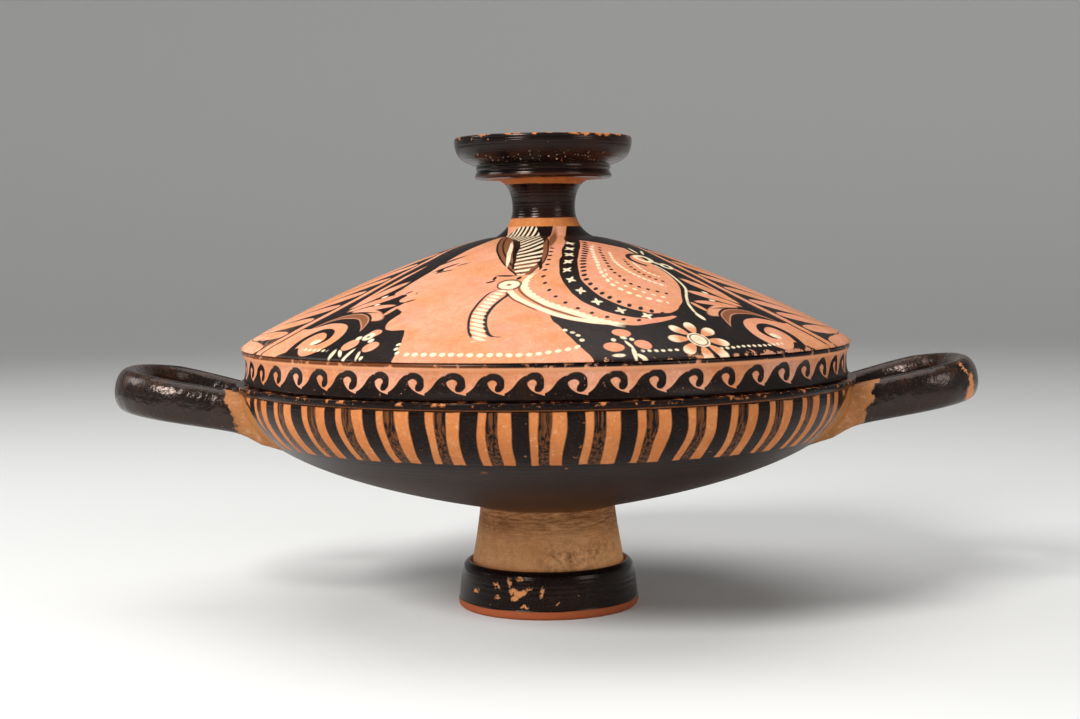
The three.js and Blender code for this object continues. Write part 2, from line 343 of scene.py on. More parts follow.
def strap(side):
    """One finished handle, closed at both roots."""
    shape = bmesh.new()
    strap_section(shape)
    walk(shape, strap_path())
    press_roots(shape, side)
    lift(shape, side)
    bmesh.ops.recalc_face_normals(shape, faces=shape.faces)
    return shape


handles = {side: placed(side + "_handle", strap(side)) for side in RISES_DEG}
print("strap faces:", {side: len(thing.data.polygons) for side, thing in handles.items()})

# %% [markdown]
# ## Join handles and bowl
# The straps pass through the wall, so what reaches into the bowl is cut off first and the
# rest is welded on. A boolean does both exactly, and its result is kept as a plain mesh.

# %% Weld the handles on
PLUG_TOP = 120
plug_profile = [
    (0, PLUG_TOP), (LIP_INNER - 0.5, PLUG_TOP), ledge[-2], *bowl_inside, (0, STEM_TOP + BOWL_FLOOR),
]
plug = placed("plug", turned(plug_profile))
bowl = placed("bowl_painted", bowl_shape)


def carve(target, tool, operation):
    """Cuts or joins with another solid, and keeps the result as the target's own mesh."""
    step = target.modifiers.new(operation, "BOOLEAN")
    step.operation = operation
    step.object = tool
    step.solver = "EXACT"
    finished = target.evaluated_get(bpy.context.evaluated_depsgraph_get())
    cut = bpy.data.meshes.new_from_object(finished)
    target.modifiers.clear()
    target.data = cut


for handle in handles.values():
    carve(handle, plug, "DIFFERENCE")
    carve(bowl, handle, "UNION")
for spare in (plug, *handles.values()):
    bpy.data.objects.remove(spare)
bowl.data.set_sharp_from_angle(angle=math.radians(SHARP_EDGE_DEG))
print("bowl with handles:", len(bowl.data.polygons), "faces")

# %% [markdown]
# ## The lid and its knob
# The lid is turned too: an upright band that sits outside the bowl's lip, a rounded ridge, a
# wide dome, and a knob of a waisted stem, a flared collar and a shallow dish. The knob's
# collar has two fine mouldings, cut with the corner of a tool while the clay turned.

# %% Turn the lid
SEAT = 95.9
BAND_INNER = 119.2
RIDGE = 108.1
DOME_TOP = 153.7
LID_WALL = 4.8
COLLAR = 177.5
COLLAR_RADIUS = 28.5
DISH = 183.1
DISH_TOP = 194.5
DISH_RADIUS = 36.8
DISH_INNER = 32.6
DISH_FLOOR = 185.5
DISH_BEND = 192.6
DOME_START = (124.35, 109.4)
STEM_FOOT = (20, DOME_TOP)
WAIST = (13, 165.6)
STEM_HEAD = (18.5, 177.0)
dome = [DOME_START] + bend(DOME_START, (135.65, 108.1), (50, 150.3), STEM_FOOT, 46)
dome_inside = [
    (radius - LID_WALL * 0.42, height - LID_WALL * 0.91)
    for radius, height in dome[::-1] if radius < 119
]
lid_band = softened([
    (BAND_INNER, RIDGE - 1.3, 1),
    (BAND_INNER, SEAT, 0.5),
    (LID_RADIUS - 0.9, SEAT, 0.4),
    (LID_RADIUS - 0.5, SEAT + 0.8, 0.5),
    (LID_RADIUS - 1.3, SEAT + 4.5, 3),
    (LID_RADIUS - 1.2, RIDGE - 2.4, 2),
    (LID_RADIUS, RIDGE - 0.6, 0.6),
    (LID_RADIUS, RIDGE + 0.7, 0.6),
    DOME_START + (0,),
])
knob_stem = hook(STEM_FOOT, (13, 157.7), WAIST, 12) + hook(WAIST, (13, 174.5), STEM_HEAD, 12)
knob_top = softened([
    STEM_HEAD + (0,),
    (COLLAR_RADIUS - 0.8, COLLAR, 0.6),
    (COLLAR_RADIUS, COLLAR + 0.8, 0.5),
    (COLLAR_RADIUS - 0.7, COLLAR + 2.6, 1),
    (COLLAR_RADIUS - 1.1, COLLAR + 3.4, 0.4),
    (COLLAR_RADIUS - 0.5, COLLAR + 4.2, 0.5),
    (COLLAR_RADIUS - 0.9, DISH - 0.3, 0.4),
    (COLLAR_RADIUS + 0.2, DISH, 0),
])
dish_side = bend(knob_top[-1], (33.4, 184.6), (36.4, 186.4), (DISH_RADIUS, DISH_BEND), 12)
dish = softened([
    (DISH_RADIUS, DISH_BEND, 0),
    (DISH_RADIUS - 0.2, DISH_TOP, 0.9),
    (DISH_INNER + 0.6, DISH_TOP, 1),
    (DISH_INNER - 0.2, DISH_TOP - 2.5, 0),
])
dish_bowl = bend(dish[-1], (31.6, 187.6), (29.5, DISH_FLOOR), (22, DISH_FLOOR), 12)
lid_profile = (
    [(0, dome_inside[0][1] + 0.4)] + dome_inside + lid_band[:-1] + dome + knob_stem
    + knob_top[1:] + dish_side + dish[1:] + dish_bowl + [(0, DISH_FLOOR + 0.3)]
)
lid = placed("lid_painted", turned(lid_profile))
lid.data.set_sharp_from_angle(angle=math.radians(SHARP_EDGE_DEG))
print("lid faces:", len(lid.data.polygons))

# %% [markdown]
# ## A small language for painting
# The whole decoration is painted by the shaders, with no pictures. Each stroke is a number
# at every point of the surface, 1 under the brush and 0 beside it. The class below lets such
# numbers be added, joined with | and cut with & in plain Python, and each sign adds its node.

# %% Fields: numbers spread over a surface
class Field:
    """A value at every point of a surface. Python's signs on it add Math nodes."""

    tree = None

    def __init__(self, socket):
        self.socket = socket

    @staticmethod
    def node(kind, settings=None, inputs=None, output=0):
        """Adds any node: its type, then its settings, then what goes into its sockets."""
        made = Field.tree.nodes.new("ShaderNode" + kind)
        for name, value in (settings or {}).items():
            setattr(made, name, value)
        for key, value in (inputs or {}).items():
            if isinstance(value, Field):
                Field.tree.links.new(value.socket, made.inputs[key])
            else:
                made.inputs[key].default_value = value
        return Field(made.outputs[output])

    def maths(self, operation, *others):
        return Field.node("Math", {"operation": operation}, dict(enumerate((self, *others))))

    def scaled(self, by, plus):
        """The value times one number plus another, kept between 0 and 1."""
        return Field.node("Clamp", None, {"Value": self.maths("MULTIPLY_ADD", by, plus)})

    def __add__(self, other):
        return self.maths("ADD", other)

    def __sub__(self, other):
        return self.maths("SUBTRACT", other)

    def __mul__(self, other):
        return self.maths("MULTIPLY", other)

    def __truediv__(self, other):
        return self.maths("DIVIDE", other)

    def __and__(self, other):
        return self.maths("MINIMUM", other)

    def __or__(self, other):
        return self.maths("MAXIMUM", other)

    def __rsub__(self, other):
        return Field.node("Math", {"operation": "SUBTRACT"}, {0: other, 1: self})

    def __abs__(self):
        return self.maths("ABSOLUTE")

    def __invert__(self):
        return 1 - self

    __radd__ = __add__
    __rmul__ = __mul__

    def inside(self, soft=0.35):
        """1 where a distance into a shape is positive, 0 outside it, with a soft edge."""
        return self.scaled(1 / soft, 0.5)

    def fract(self):
        return self.maths("FRACT")

    def curve(self, points):
        """A smooth curve: the height that belongs to this value, between given points."""
        low_x, high_x = points[0][0], points[-1][0]
        low_y, high_y = min(y for _, y in points), max(y for _, y in points)
        share = self.maths("MULTIPLY_ADD", 1 / (high_x - low_x), -low_x / (high_x - low_x))
        drawn = [((x - low_x) / (high_x - low_x), (y - low_y) / (high_y - low_y)) for x, y in points]
        made = Field.node("FloatCurve", None, {"Value": share})
        mapping = made.socket.node.mapping
        mapping.extend = "HORIZONTAL"
        knots = mapping.curves[0].points
        knots[0].location = drawn[0]
        knots[1].location = drawn[-1]
        for place in drawn[1:-1]:
            knots.new(*place)
        for knot in knots:
            knot.handle_type = "AUTO_CLAMPED"
        mapping.update()
        return made.maths("MULTIPLY_ADD", high_y - low_y, low_y)


def seen_flat(x, y):
    """Two coordinates as a place on a plane."""
    return Field.node("CombineXYZ", None, {"X": x, "Y": y})


def flat_place(x, y):
    """Two coordinates as one place. The plain Mapping after it lets many nodes share it."""
    return Field.node("Mapping", None, {"Vector": seen_flat(x, y)})


def length(across, up):
    """How far a point is from the middle, from its two distances."""
    return across.maths("MULTIPLY_ADD", across, up * up).maths("SQRT")


def line(distance, half_width):
    """A stroke of even width along every point where the distance is zero."""
    return (half_width - abs(distance)).inside()


def between(value, low, high, soft=0.35):
    """1 where a value lies between two others, with soft ends."""
    return ((value - low) & (high - value)).inside(soft)


def speckle(place, scale, detail=2, roughness=0.5):
    """Even cloudy noise between 0 and 1. Scale is in clouds per millimetre."""
    settings = {"Vector": place, "Scale": scale, "Detail": detail, "Roughness": roughness}
    return Field.node("TexNoise", None, settings)


def mix(factor, first, second):
    """Two colours mixed by a field."""
    inputs = {0: factor, 6: first, 7: second}
    return Field.node("Mix", {"data_type": "RGBA"}, inputs, 2)


def brush_marks(plan, marks, soft=0.35):
    """Oval touches of the brush: (x, y, half length, half width, degrees)."""
    nearest = None
    for x, y, long, wide, turn in marks:
        local = Field.node("Mapping", {"vector_type": "TEXTURE"}, {
            "Vector": plan, "Location": (x, y, 0), "Rotation": (0, 0, math.radians(turn)),
            "Scale": (long, wide, 1),
        })
        reach = Field.node("VectorMath", {"operation": "LENGTH"}, {0: local}, "Value")
        nearest = reach if nearest is None else nearest & reach
    width = sum(mark[3] for mark in marks) / len(marks)
    return ((1 - nearest) * width).inside(soft)


def row_of_dots(along, across, pitch, half_long, half_wide):
    """Dots set at an even pitch along one direction, where the other direction is near zero."""
    beside = ((along / pitch).fract() - 0.5) * (pitch / half_long)
    reach = length(beside, across / half_wide)
    return ((1 - reach) * min(half_long, half_wide)).inside()


def polar(x, y, middle_x, middle_y):
    """Degrees counted clockwise from the top round by the left, 0 to 360, and the radius."""
    side, up = middle_x - x, y - middle_y
    turn = (side.maths("ARCTAN2", up) / math.tau).fract() * 360
    return turn, length(side, up)


# %% Colours and a fresh material
def paint(red, green, blue):
    """A colour named by its screen values from 0 to 255, as the light values a shader needs."""
    parts = [value / 255 for value in (red, green, blue)]
    return tuple(v / 12.92 if v <= 0.04045 else ((v + 0.055) / 1.055) ** 2.4 for v in parts) + (1,)


CLAY_WARM = paint(216, 146, 100)
CLAY_PINK = paint(228, 163, 134)
CLAY_DEEP = paint(186, 106, 60)
CLAY_PALE = paint(240, 196, 160)
CLAY_ROSE = paint(226, 140, 118)
SLIP_BLACK = paint(16, 11, 11)
SLIP_BROWN = paint(44, 22, 15)
SLIP_DUST = paint(112, 92, 78)
THIN_SLIP = paint(104, 56, 26)
CREAM = paint(242, 223, 188)
CHIP = paint(226, 148, 92)


def surface(name):
    """A new material, and the fields that every one of them starts from, in millimetres."""
    material = bpy.data.materials.new(name)
    material.use_nodes = True
    Field.tree = material.node_tree
    shader = Field.tree.nodes["Principled BSDF"]
    local = Field.node("TexCoord", None, None, "Object")
    place = Field.node("Mapping", None, {"Vector": local, "Scale": (1 / MM,) * 3})
    return material, shader, place


def split(place, wobble=0.0, scale=0.09):
    """The three coordinates, each moved a little this way and that, so no edge looks ruled."""
    parts = Field.node("SeparateXYZ", None, {0: place}).socket.node
    coordinates = [Field(socket) for socket in parts.outputs]
    if wobble:
        for i in (0, 1):
            drift = speckle(place, scale * (1 + i * 0.13), 1)
            coordinates[i] = coordinates[i] + drift.maths("MULTIPLY_ADD", wobble * 2, -wobble)
    return coordinates


GLOSS_TINT = (1, 0.78, 0.68, 1)


def finish(shader, colour, roughness, height, depth, strength, gloss=0.22):
    """Plugs colour, roughness and a bump of a given depth in millimetres into the shader."""
    links = Field.tree.links
    links.new(colour.socket, shader.inputs["Base Color"])
    links.new(roughness.socket, shader.inputs["Roughness"])
    relief = {"Height": height, "Strength": strength, "Distance": depth * MM}
    links.new(Field.node("Bump", None, relief, "Normal").socket, shader.inputs["Normal"])
    shader.inputs["Specular IOR Level"].default_value = gloss
    shader.inputs["Specular Tint"].default_value = GLOSS_TINT


def clay_colour(place, warm=CLAY_WARM, pink=CLAY_PINK, deep=CLAY_DEEP):
    """Fired clay: broad clouds of two tones, fine grit, and a few darker stains."""
    clouds = speckle(place, 0.04, 4, 0.6).scaled(3.6, -1.35)
    grit = speckle(place, 1.3, 3, 0.75).scaled(4, -1.75)
    stains = speckle(place, 0.07, 5, 0.7).scaled(6, -3.4)
    blush = speckle(place, 0.22, 4, 0.75).scaled(5, -2.2)
    pale = speckle(place, 0.5, 3, 0.7).scaled(7, -3.9)
    body = mix(clouds, warm, pink)
    body = mix(blush * 0.28, body, deep)
    body = mix(pale * 0.3, body, CLAY_PALE)
    body = mix(grit * 0.35, body, deep)
    return mix(stains * 0.45, body, deep)


def slip_colour(place):
    """The dark gloss: near black, browner where it lay thin."""
    patches = speckle(place, 0.08, 4, 0.6).scaled(3.2, -1.5)
    dust = speckle(place, 1.8, 2, 0.7).scaled(9, -5.4)
    body = mix(patches * 0.7, SLIP_BLACK, SLIP_BROWN)
    return mix(dust * 0.28, body, SLIP_DUST)


# %% [markdown]
# ## The lid's picture
# The picture is laid out flat, as if seen from above with the knob in the middle, because
# that is how the painter saw it on the wheel. The half towards the viewer holds a woman's
# head between two palmettes, one over each handle. The other half repeats it, turned round
# by half a turn, which also lets each palmette close on its far side. Four fields are filled
# in as the work goes on: bare clay, dark lines, thinned slip and white. Filling them at once,
# and not at the end, keeps the number of fields in use small, which a shader needs.

# %% Lay out the lid
lid_paint, lid_shader, lid_place = surface("lid_picture")
lid_x, lid_y = split(lid_place, 0.6)[:2]
half_sign = lid_y.maths("SIGN")
plan_x = lid_x * half_sign * -1
plan_y = abs(lid_y) * -1
mirror_x = abs(plan_x)

# %% [markdown]
# ## Palmettes
# A palmette is a fan of petals inside a band. The petals are one petal repeated by angle
# round the fan's foot at the rim, and bent a little as they rise. Dark slip fills the gaps,
# so the petals themselves are bare clay.

# %% Paint a palmette over each handle
PALMETTE_FOOT = 120
PETAL_PITCH = math.radians(10)
PETAL_BEND = 0.0058
fan_x = PALMETTE_FOOT - mirror_x
fan_turn = (plan_y * -1).maths("ARCTAN2", fan_x)
fan_reach = length(fan_x, plan_y)
fan_edge = fan_turn.curve([
    (0.0, 101), (0.07, 90), (0.155, 82.1), (0.321, 76.7), (0.469, 72.2), (0.614, 68.7),
    (0.782, 66.3), (0.944, 64.0), (1.107, 62.2), (1.269, 61.6), (1.45, 60.6), (1.8, 60),
])
fan_depth = fan_edge - fan_reach
band_half = fan_turn * 0.75 + 1.35
band_gap = abs(fan_depth) - band_half
petal_depth = fan_depth - band_half - 1.3
petal_turn = (fan_turn - petal_depth * fan_turn.maths("SINE") * PETAL_BEND) / PETAL_PITCH
petal_side = abs((petal_turn + 0.5).fract() - 0.5)
petal_width = petal_depth.curve([
    (0, 0), (0.7, 0.12), (2, 0.2), (4.5, 0.27), (8, 0.335), (13, 0.395), (20, 0.44), (34, 0.46),
    (80, 0.465),
])
petals = ((petal_width - petal_side) * fan_reach * PETAL_PITCH).inside(0.4)
heart = line(fan_reach - 9, 1) | (5 - fan_reach).inside()
palmette_dark = (petal_depth + 0.1).inside() & ~petals
palmette_dark = palmette_dark | line(band_gap - 0.65, 0.8) | heart
outside_palmette = (0 - fan_depth - band_half - 1.3).inside()
palmette_clay = ~outside_palmette & ~palmette_dark

# %% [markdown]
# ## Scrolls beside the palmettes
# Under each palmette a tendril comes in from the rim and rolls up into a scroll. The bare
# clay of the scroll is one rounded shape, and a single dark line curls over it. Both follow
# a radius that changes with the angle round the scroll's eye.

# %% Paint the scrolls
SCROLL_X = 84.5
SCROLL_Y = -79.5
scroll_side = mirror_x - SCROLL_X
scroll_up = plan_y - SCROLL_Y
scroll_turn = (scroll_up.maths("ARCTAN2", scroll_side) / math.tau).fract() * 360
scroll_reach = length(scroll_side, scroll_up)
scroll_edge = scroll_turn.curve([
    (0, 7.4), (8, 8), (14, 12), (22, 21), (32, 30), (58, 28), (72, 18), (90, 14.2), (112, 12.4),
    (135, 11.2), (180, 10.8), (225, 10), (270, 9.4), (315, 8.5), (345, 7.6), (360, 7.4),
])
curl = scroll_turn.curve([
    (0, 11.5), (10, 11.2), (20, 10.6), (41, 9.9), (60, 9.2), (90, 8.1), (121, 6.3), (150, 5.1),
    (194, 4.2), (243, 3.35), (315, 2.3), (360, 1.6),
])
curl_width = scroll_turn.curve([
    (0, 1.9), (20, 1.8), (60, 1.6), (90, 1.5), (130, 1.6), (180, 1.4), (243, 0.8), (300, 0.4),
    (360, 0.1),
])
husk_middle = scroll_turn.curve([
    (60, 16.8), (80, 16.6), (96, 16.3), (126, 16.2), (145, 16.7), (166, 17.2), (190, 17.4), (210, 17),
])
husk_width = scroll_turn.curve([
    (58, -0.8), (76, 0.1), (96, 0.8), (126, 1.6), (145, 1.9), (166, 1.9), (188, 1.1), (205, -0.4),
    (215, -1),
])
husk = (husk_width - abs(scroll_reach - husk_middle)).inside()
husk_line = line(abs(scroll_reach - husk_middle) - husk_width - 0.4, 0.5)
husk_line = husk_line & between(scroll_turn, 84, 198, 3)
bare = (scroll_edge - scroll_reach).inside() | husk
thin = (husk_width - 0.4 - abs(scroll_reach - husk_middle)).inside(0.9)
dark = (curl_width - abs(scroll_reach - curl)).inside() | husk_line

# %% [markdown]
# ## The head
# The head is a plain type, calm and young, in left profile, as on countless vessels: brow and
# nose in one line, small mouth, rounded chin. Its flesh is bare clay. The profile is one
# curve that gives the edge for each height; the features are touched in later.

# %% Profile and neck
profile = plan_y.curve([
    (-125, -61), (-121, -60), (-115, -55.5), (-108, -52.5), (-100, -51.3), (-96, -51),
    (-94.2, -53.5), (-92.3, -56.7), (-89, -58.4), (-85.5, -57.8), (-82.3, -55.3), (-79.5, -53.4),
    (-77, -54.2), (-74.8, -55.2), (-72.8, -54.4), (-71.5, -52.7), (-70, -54.3), (-68.2, -55),
    (-66.2, -53.4), (-64.6, -52.3), (-63, -53.8), (-61.2, -56.8), (-59.4, -57.2), (-57, -55.3),
    (-52, -50.8), (-46, -45.4), (-40, -40.6), (-33, -35), (-26, -29), (-19, -22), (-12, -15),
])
neck_back = plan_y.curve([
    (-125, 17), (-123, 16), (-119, 13), (-113, 9), (-105, 5), (-98, 2), (-88, 5), (-75, 0), (-12, -6),
])
bare = bare | ((plan_x - profile) & (neck_back - plan_x)).inside()

# %% [markdown]
# ## The head's dress
# The woman wears a bag-shaped cap, patterned in rows, behind a dark band with white crosses,
# a clay band with dots and a fringe of hair. All these edges run round one point in the
# middle of the cap, so each is drawn as a radius that changes with the angle round it.

# %% Bands of the cap
CAP_X = 45
CAP_Y = -45
cap_turn, cap_reach = polar(plan_x, plan_y, CAP_X, CAP_Y)
cap_edge = cap_turn.curve([
    (45, 40), (56, 37.4), (67, 33.6), (84.5, 31.3), (102, 32.8), (118, 36.2), (130, 40.1),
    (141.5, 43.4), (149.5, 45.3), (158, 46.2), (166, 46.3), (174, 46.3), (182, 44),
])
cap_front = plan_y.curve([
    (-91, 38), (-89, 42), (-86, 47), (-80, 50), (-72, 51.5), (-62, 51.5), (-54, 50), (-46, 46),
    (-42, 43), (-36, 39), (-30, 35), (-26, 32),
])
cap = ((cap_edge - cap_reach) & (cap_front - plan_x) & (-26 - plan_y)).inside()
dark_band_edge = cap_turn.curve([
    (45, 50), (49, 47.5), (61.6, 42.1), (75, 38.3), (90, 38), (100, 39.6), (111, 42.3),
    (120.5, 45.3), (130, 48.3), (138, 51), (147, 53.1), (154.6, 53.7), (162.4, 53),
    (170, 50.8), (175, 48.2), (182, 44),
])
in_turn = between(cap_turn, 47, 184, 2)
dark_band = (dark_band_edge - cap_reach).inside() & ~cap & in_turn
hair_edge = cap_turn.curve([
    (45, 55), (62, 48.8), (90, 46), (106, 47.8), (113, 53.3), (118, 58.5), (125, 61.9),
    (134, 62.2), (145, 61), (156, 60.4), (163.4, 59.2), (172.5, 53.5), (181, 47), (186, 42),
])
hair_band = ((cap_reach - dark_band_edge) & (hair_edge - cap_reach)).inside() & in_turn
ribbon_edge = cap_turn.curve([
    (112, 61), (120.7, 68.6), (126, 69.4), (135.6, 68.6), (142, 68), (150, 65.9), (158.4, 62.4),
    (163.4, 59.5),
])
past_hair = cap_reach - hair_edge
ribbon_turn = between(cap_turn, 113, 163, 3)
bare = bare | hair_band | ((ribbon_edge - cap_reach) & past_hair).inside() & ribbon_turn
bare = (bare & ~dark_band) | cap
fringe_wave = abs((cap_turn / 2.4).fract() - 0.5) * 1.6
white = ((past_hair + fringe_wave + 0.6) & (2.1 - past_hair)).inside() & ribbon_turn
white = white | line(ribbon_edge - cap_reach - 1.4, 1.2) & between(cap_turn, 120, 161, 3)
thin = thin | line(past_hair - 2.9, 0.5) & between(cap_turn, 118, 156, 2)
thin = thin | line(ribbon_edge - cap_reach + 0.3, 0.45) & between(cap_turn, 116, 136, 2)


# %% Rows of dots and dashes on the cap
def cap_row(points, pitch, half_long, half_wide, first, last):
    """Marks in a row whose radius follows the given points. Pitch is in degrees."""
    along = ((cap_turn / pitch).fract() - 0.5) * cap_reach * (math.radians(pitch) / half_long)
    reach = length(along, (cap_reach - cap_turn.curve(points)) / half_wide)
    return ((1 - reach) * min(half_long, half_wide)).inside(0.3) & between(cap_turn, first, last, 1)


DARK_ROWS = [
    ([(56, 35.2), (67, 31.4), (84.5, 29.1), (102, 30.6), (118, 34), (130, 37.9), (141.5, 41.2),
      (149.5, 43.1), (158, 44), (174, 44.2), (184, 43)], 5.3, 0.85, 1.4, 56, 180),
    ([(62, 26), (78, 23.5), (99, 21.8), (119, 22.8), (137.5, 24.4), (157, 26.7), (172, 26.2),
      (187, 25.7)], 7.4, 0.75, 0.8, 62, 187),
    ([(80, 14), (120, 13), (160, 13.5), (190, 14)], 11, 0.7, 0.7, 82, 188),
]
WHITE_ROWS = [
    ([(60, 29), (67, 28.2), (84, 26), (95, 25.2), (118, 27.3), (132, 30), (147, 33.3),
      (160, 34.3), (182, 34)], 6.4, 1.2, 0.9, 62, 182),
    ([(65, 21), (85, 19), (106, 17.7), (135, 17), (159, 17.1), (184, 18)], 7.6, 1.0, 0.8, 66, 184),
    ([(85, 10.5), (120, 9.5), (175, 9.5)], 13, 0.9, 0.7, 86, 176),
    ([(62, 23.5), (85, 21.6), (118, 25), (150, 30), (182, 30)], 7.0, 0.9, 0.6, 120, 182),
]
for row in DARK_ROWS:
    dark = dark | cap_row(*row) & cap
for row in WHITE_ROWS:
    white = white | cap_row(*row) & cap
dark = dark | cap_row(
    [(80, 42), (86, 42.1), (99, 43.6), (110.7, 48.1), (123, 53.3), (134, 56.6), (144.5, 58.1),
     (153.5, 57.6), (163.5, 55.3), (172, 51)], 5.7, 0.75, 0.95, 80, 172,
)

# %% White crosses on the dark band
CROSS_PITCH = 11.2
CROSS_START = 64.4
CROSS_ARM = 2.3
CROSS_HALF_WIDTH = 0.75
DIAGONAL = 0.707
cross_row = cap_turn.curve([
    (69.6, 37.3), (82, 35.2), (95, 35.3), (107, 37.8), (118.7, 41.4), (130, 44.4), (139.7, 47.4),
    (149.8, 49.5), (159, 50), (170.5, 48.6),
])
cross_along = ((cap_turn - CROSS_START) / CROSS_PITCH).fract() - 0.5
cross_along = cross_along * math.radians(CROSS_PITCH) * cap_reach
cross_across = cap_reach - cross_row
one_way = (cross_along + cross_across) * DIAGONAL
other_way = (cross_along - cross_across) * DIAGONAL
one_arm = length(one_way / CROSS_ARM, other_way / CROSS_HALF_WIDTH)
cross_reach = one_arm & length(one_way / CROSS_HALF_WIDTH, other_way / CROSS_ARM)
white = white | ((1 - cross_reach) * 0.9).inside(0.3) & between(cap_turn, 64, 176, 1)
print("nodes so far:", len(Field.tree.nodes))

# %% Crown of rays, hair, hanging lock and tie
RAY_PITCH = 3.55
crown_left = plan_y.curve([
    (-66, -10.9), (-64, -11.5), (-58.5, -14), (-51.5, -16.5), (-43.5, -18), (-35, -19),
    (-24.5, -18.5), (-16, -16.5), (-10, -13),
])
crown_right = plan_y.curve([
    (-66, -5.5), (-64, -4.5), (-59.5, -2.5), (-54.5, 0), (-46.5, 1.5), (-37, 2), (-27, 1.5),
    (-17.5, 0), (-12, -3),
])
rays_left = plan_y.curve([
    (-66, -10.3), (-57, -11.4), (-50, -11), (-43.5, -10.5), (-36, -9.5), (-31, -9.5), (-27.5, -10.5),
    (-21, -13), (-15, -15),
])
ray_slope = plan_y.curve([
    (-66, 0.05), (-57, 0.2), (-50, 0.3), (-43, 0.5), (-36, 0.85), (-28, 1.2), (-18, 1.5), (-12, 1.6),
])
crown_height = between(plan_y, -66, -12, 0.8)
from_left = plan_x - crown_left
thin = thin | (from_left & (crown_right - plan_x)).inside() & crown_height
ray_zone = ((plan_x - rays_left) & (crown_right - plan_x - 2.2)).inside() & crown_height
ray_phase = abs(((plan_y - ray_slope * (plan_x + 10)) / RAY_PITCH).fract() - 0.5) * RAY_PITCH
rays = (0.85 - ray_phase).inside() & ray_zone
dark = dark | (line(from_left - 0.3, 0.4) | line(from_left - 2.6, 0.35)) & crown_height
dark = dark | ((plan_x + 12.3) & (rays_left - plan_x)).inside() & between(plan_y, -60, -24, 1)
dark = dark | (ray_phase - 1.05).inside() & ray_zone & (plan_y + 52).inside(6)
dark = dark | line(crown_right - plan_x - 0.2, 0.3) & crown_height
white = white | rays
lock_left = plan_y.curve([
    (-111, -24), (-108.5, -26.5), (-102.5, -27.6), (-94, -27), (-86, -24.6), (-79, -20.6),
    (-76.5, -16),
])
lock_middle = plan_y.curve([
    (-110, -23.5), (-103, -24.4), (-95, -23.9), (-88, -21.6), (-81, -17.8), (-78, -15.4),
])
lock_right = plan_y.curve([
    (-110.8, -16.5), (-109.6, -19.5), (-106, -21.2), (-100, -21.6), (-93.5, -20.5), (-86.5, -17),
    (-82, -13.8),
])
dark = dark | line(plan_x - lock_right, 0.75) & between(plan_y, -111, -81, 1)
dark = dark | line(plan_x - lock_left, 0.5) & between(plan_y, -111, -77, 1)
rungs = row_of_dots(plan_y + plan_x * 0.65, plan_x - lock_middle, 2.9, 1.05, 2.6)
white = white | rungs & between(plan_y, -112, -77.5, 1)
dark = dark | line(length(plan_x + 13.3, plan_y + 73.8) - 4.2, 0.4)
dark = dark | line(length(plan_x - 40, plan_y + 38) - 7, 0.9) & (40 - plan_x).inside(1)
white = white | line(length(plan_x - 39, plan_y + 36) - 3.1, 1.0)
white = white | line(length(plan_x - 48, plan_y + 38) - 2.1, 0.8)
string = line(plan_x - plan_y.curve([
    (-84, 57), (-80, 54.7), (-72, 53.4), (-62, 53.8), (-55, 52), (-47, 48), (-41, 43),
]), 0.55)
white = white | string & between(plan_y, -84, -41, 1)

# %% [markdown]
# ## Filling ornaments
# The dark ground round the head is filled with a rosette, berries on stems and rows of white
# dots, laid on over the dark slip. The rosette repeats one petal by angle.

# %% Rosette and rows of dots
ROSETTE_X = 55
ROSETTE_Y = -102.8
PETAL_DEG = 360 / 8
RIM_MM_PER_DEG = 2.1
RIM_DOTS = 121.6
rosette_turn, rosette_reach = polar(plan_x, plan_y, ROSETTE_X, ROSETTE_Y)
rosette_side = (rosette_turn / PETAL_DEG + 0.1).fract() - 0.5
rosette_side = rosette_side * math.radians(PETAL_DEG) * rosette_reach
petal_fill = length((rosette_reach - 7.6) / 3.9, rosette_side / (rosette_reach * 0.2 + 0.5))
rosette_petals = ((1 - petal_fill) * 2).inside()
bare = bare | rosette_petals
white = white | rosette_petals & (rosette_reach - 8.6).inside(2.5) | (4.1 - rosette_reach).inside()
rosette_ring = line(rosette_reach - 3.2, 0.3)
rim_turn, rim_reach = polar(plan_x, plan_y, 0, 0)
rim_dots = row_of_dots(rim_turn * RIM_MM_PER_DEG, rim_reach - RIM_DOTS, 2.6, 0.8, 0.65)
left_dots = between(rim_turn, 132, 139, 0.5)
right_dots = between(rim_turn, 196, 203, 0.5) | between(rim_turn, 211, 226, 0.5)
white = white | rim_dots & (left_dots | right_dots)
necklace_reach = rim_turn.curve([(150, 122), (158, 122.2), (172, 122.4), (184, 119.6), (186, 118)])
necklace = row_of_dots(rim_turn * RIM_MM_PER_DEG, rim_reach - necklace_reach, 3.4, 1.15, 0.95)
white = white | necklace & between(rim_turn, 156, 186, 0.5)

# %% Put the palmettes over it
bare = (bare & outside_palmette) | palmette_clay
dark = dark & outside_palmette
print("nodes so far:", len(Field.tree.nodes))

# %% [markdown]
# ## Touches of the brush
# What is left is single strokes and drops. Each is an oval with a place, a length, a width
# and a turn, as the brush would leave it. They are laid over the rest in one go.

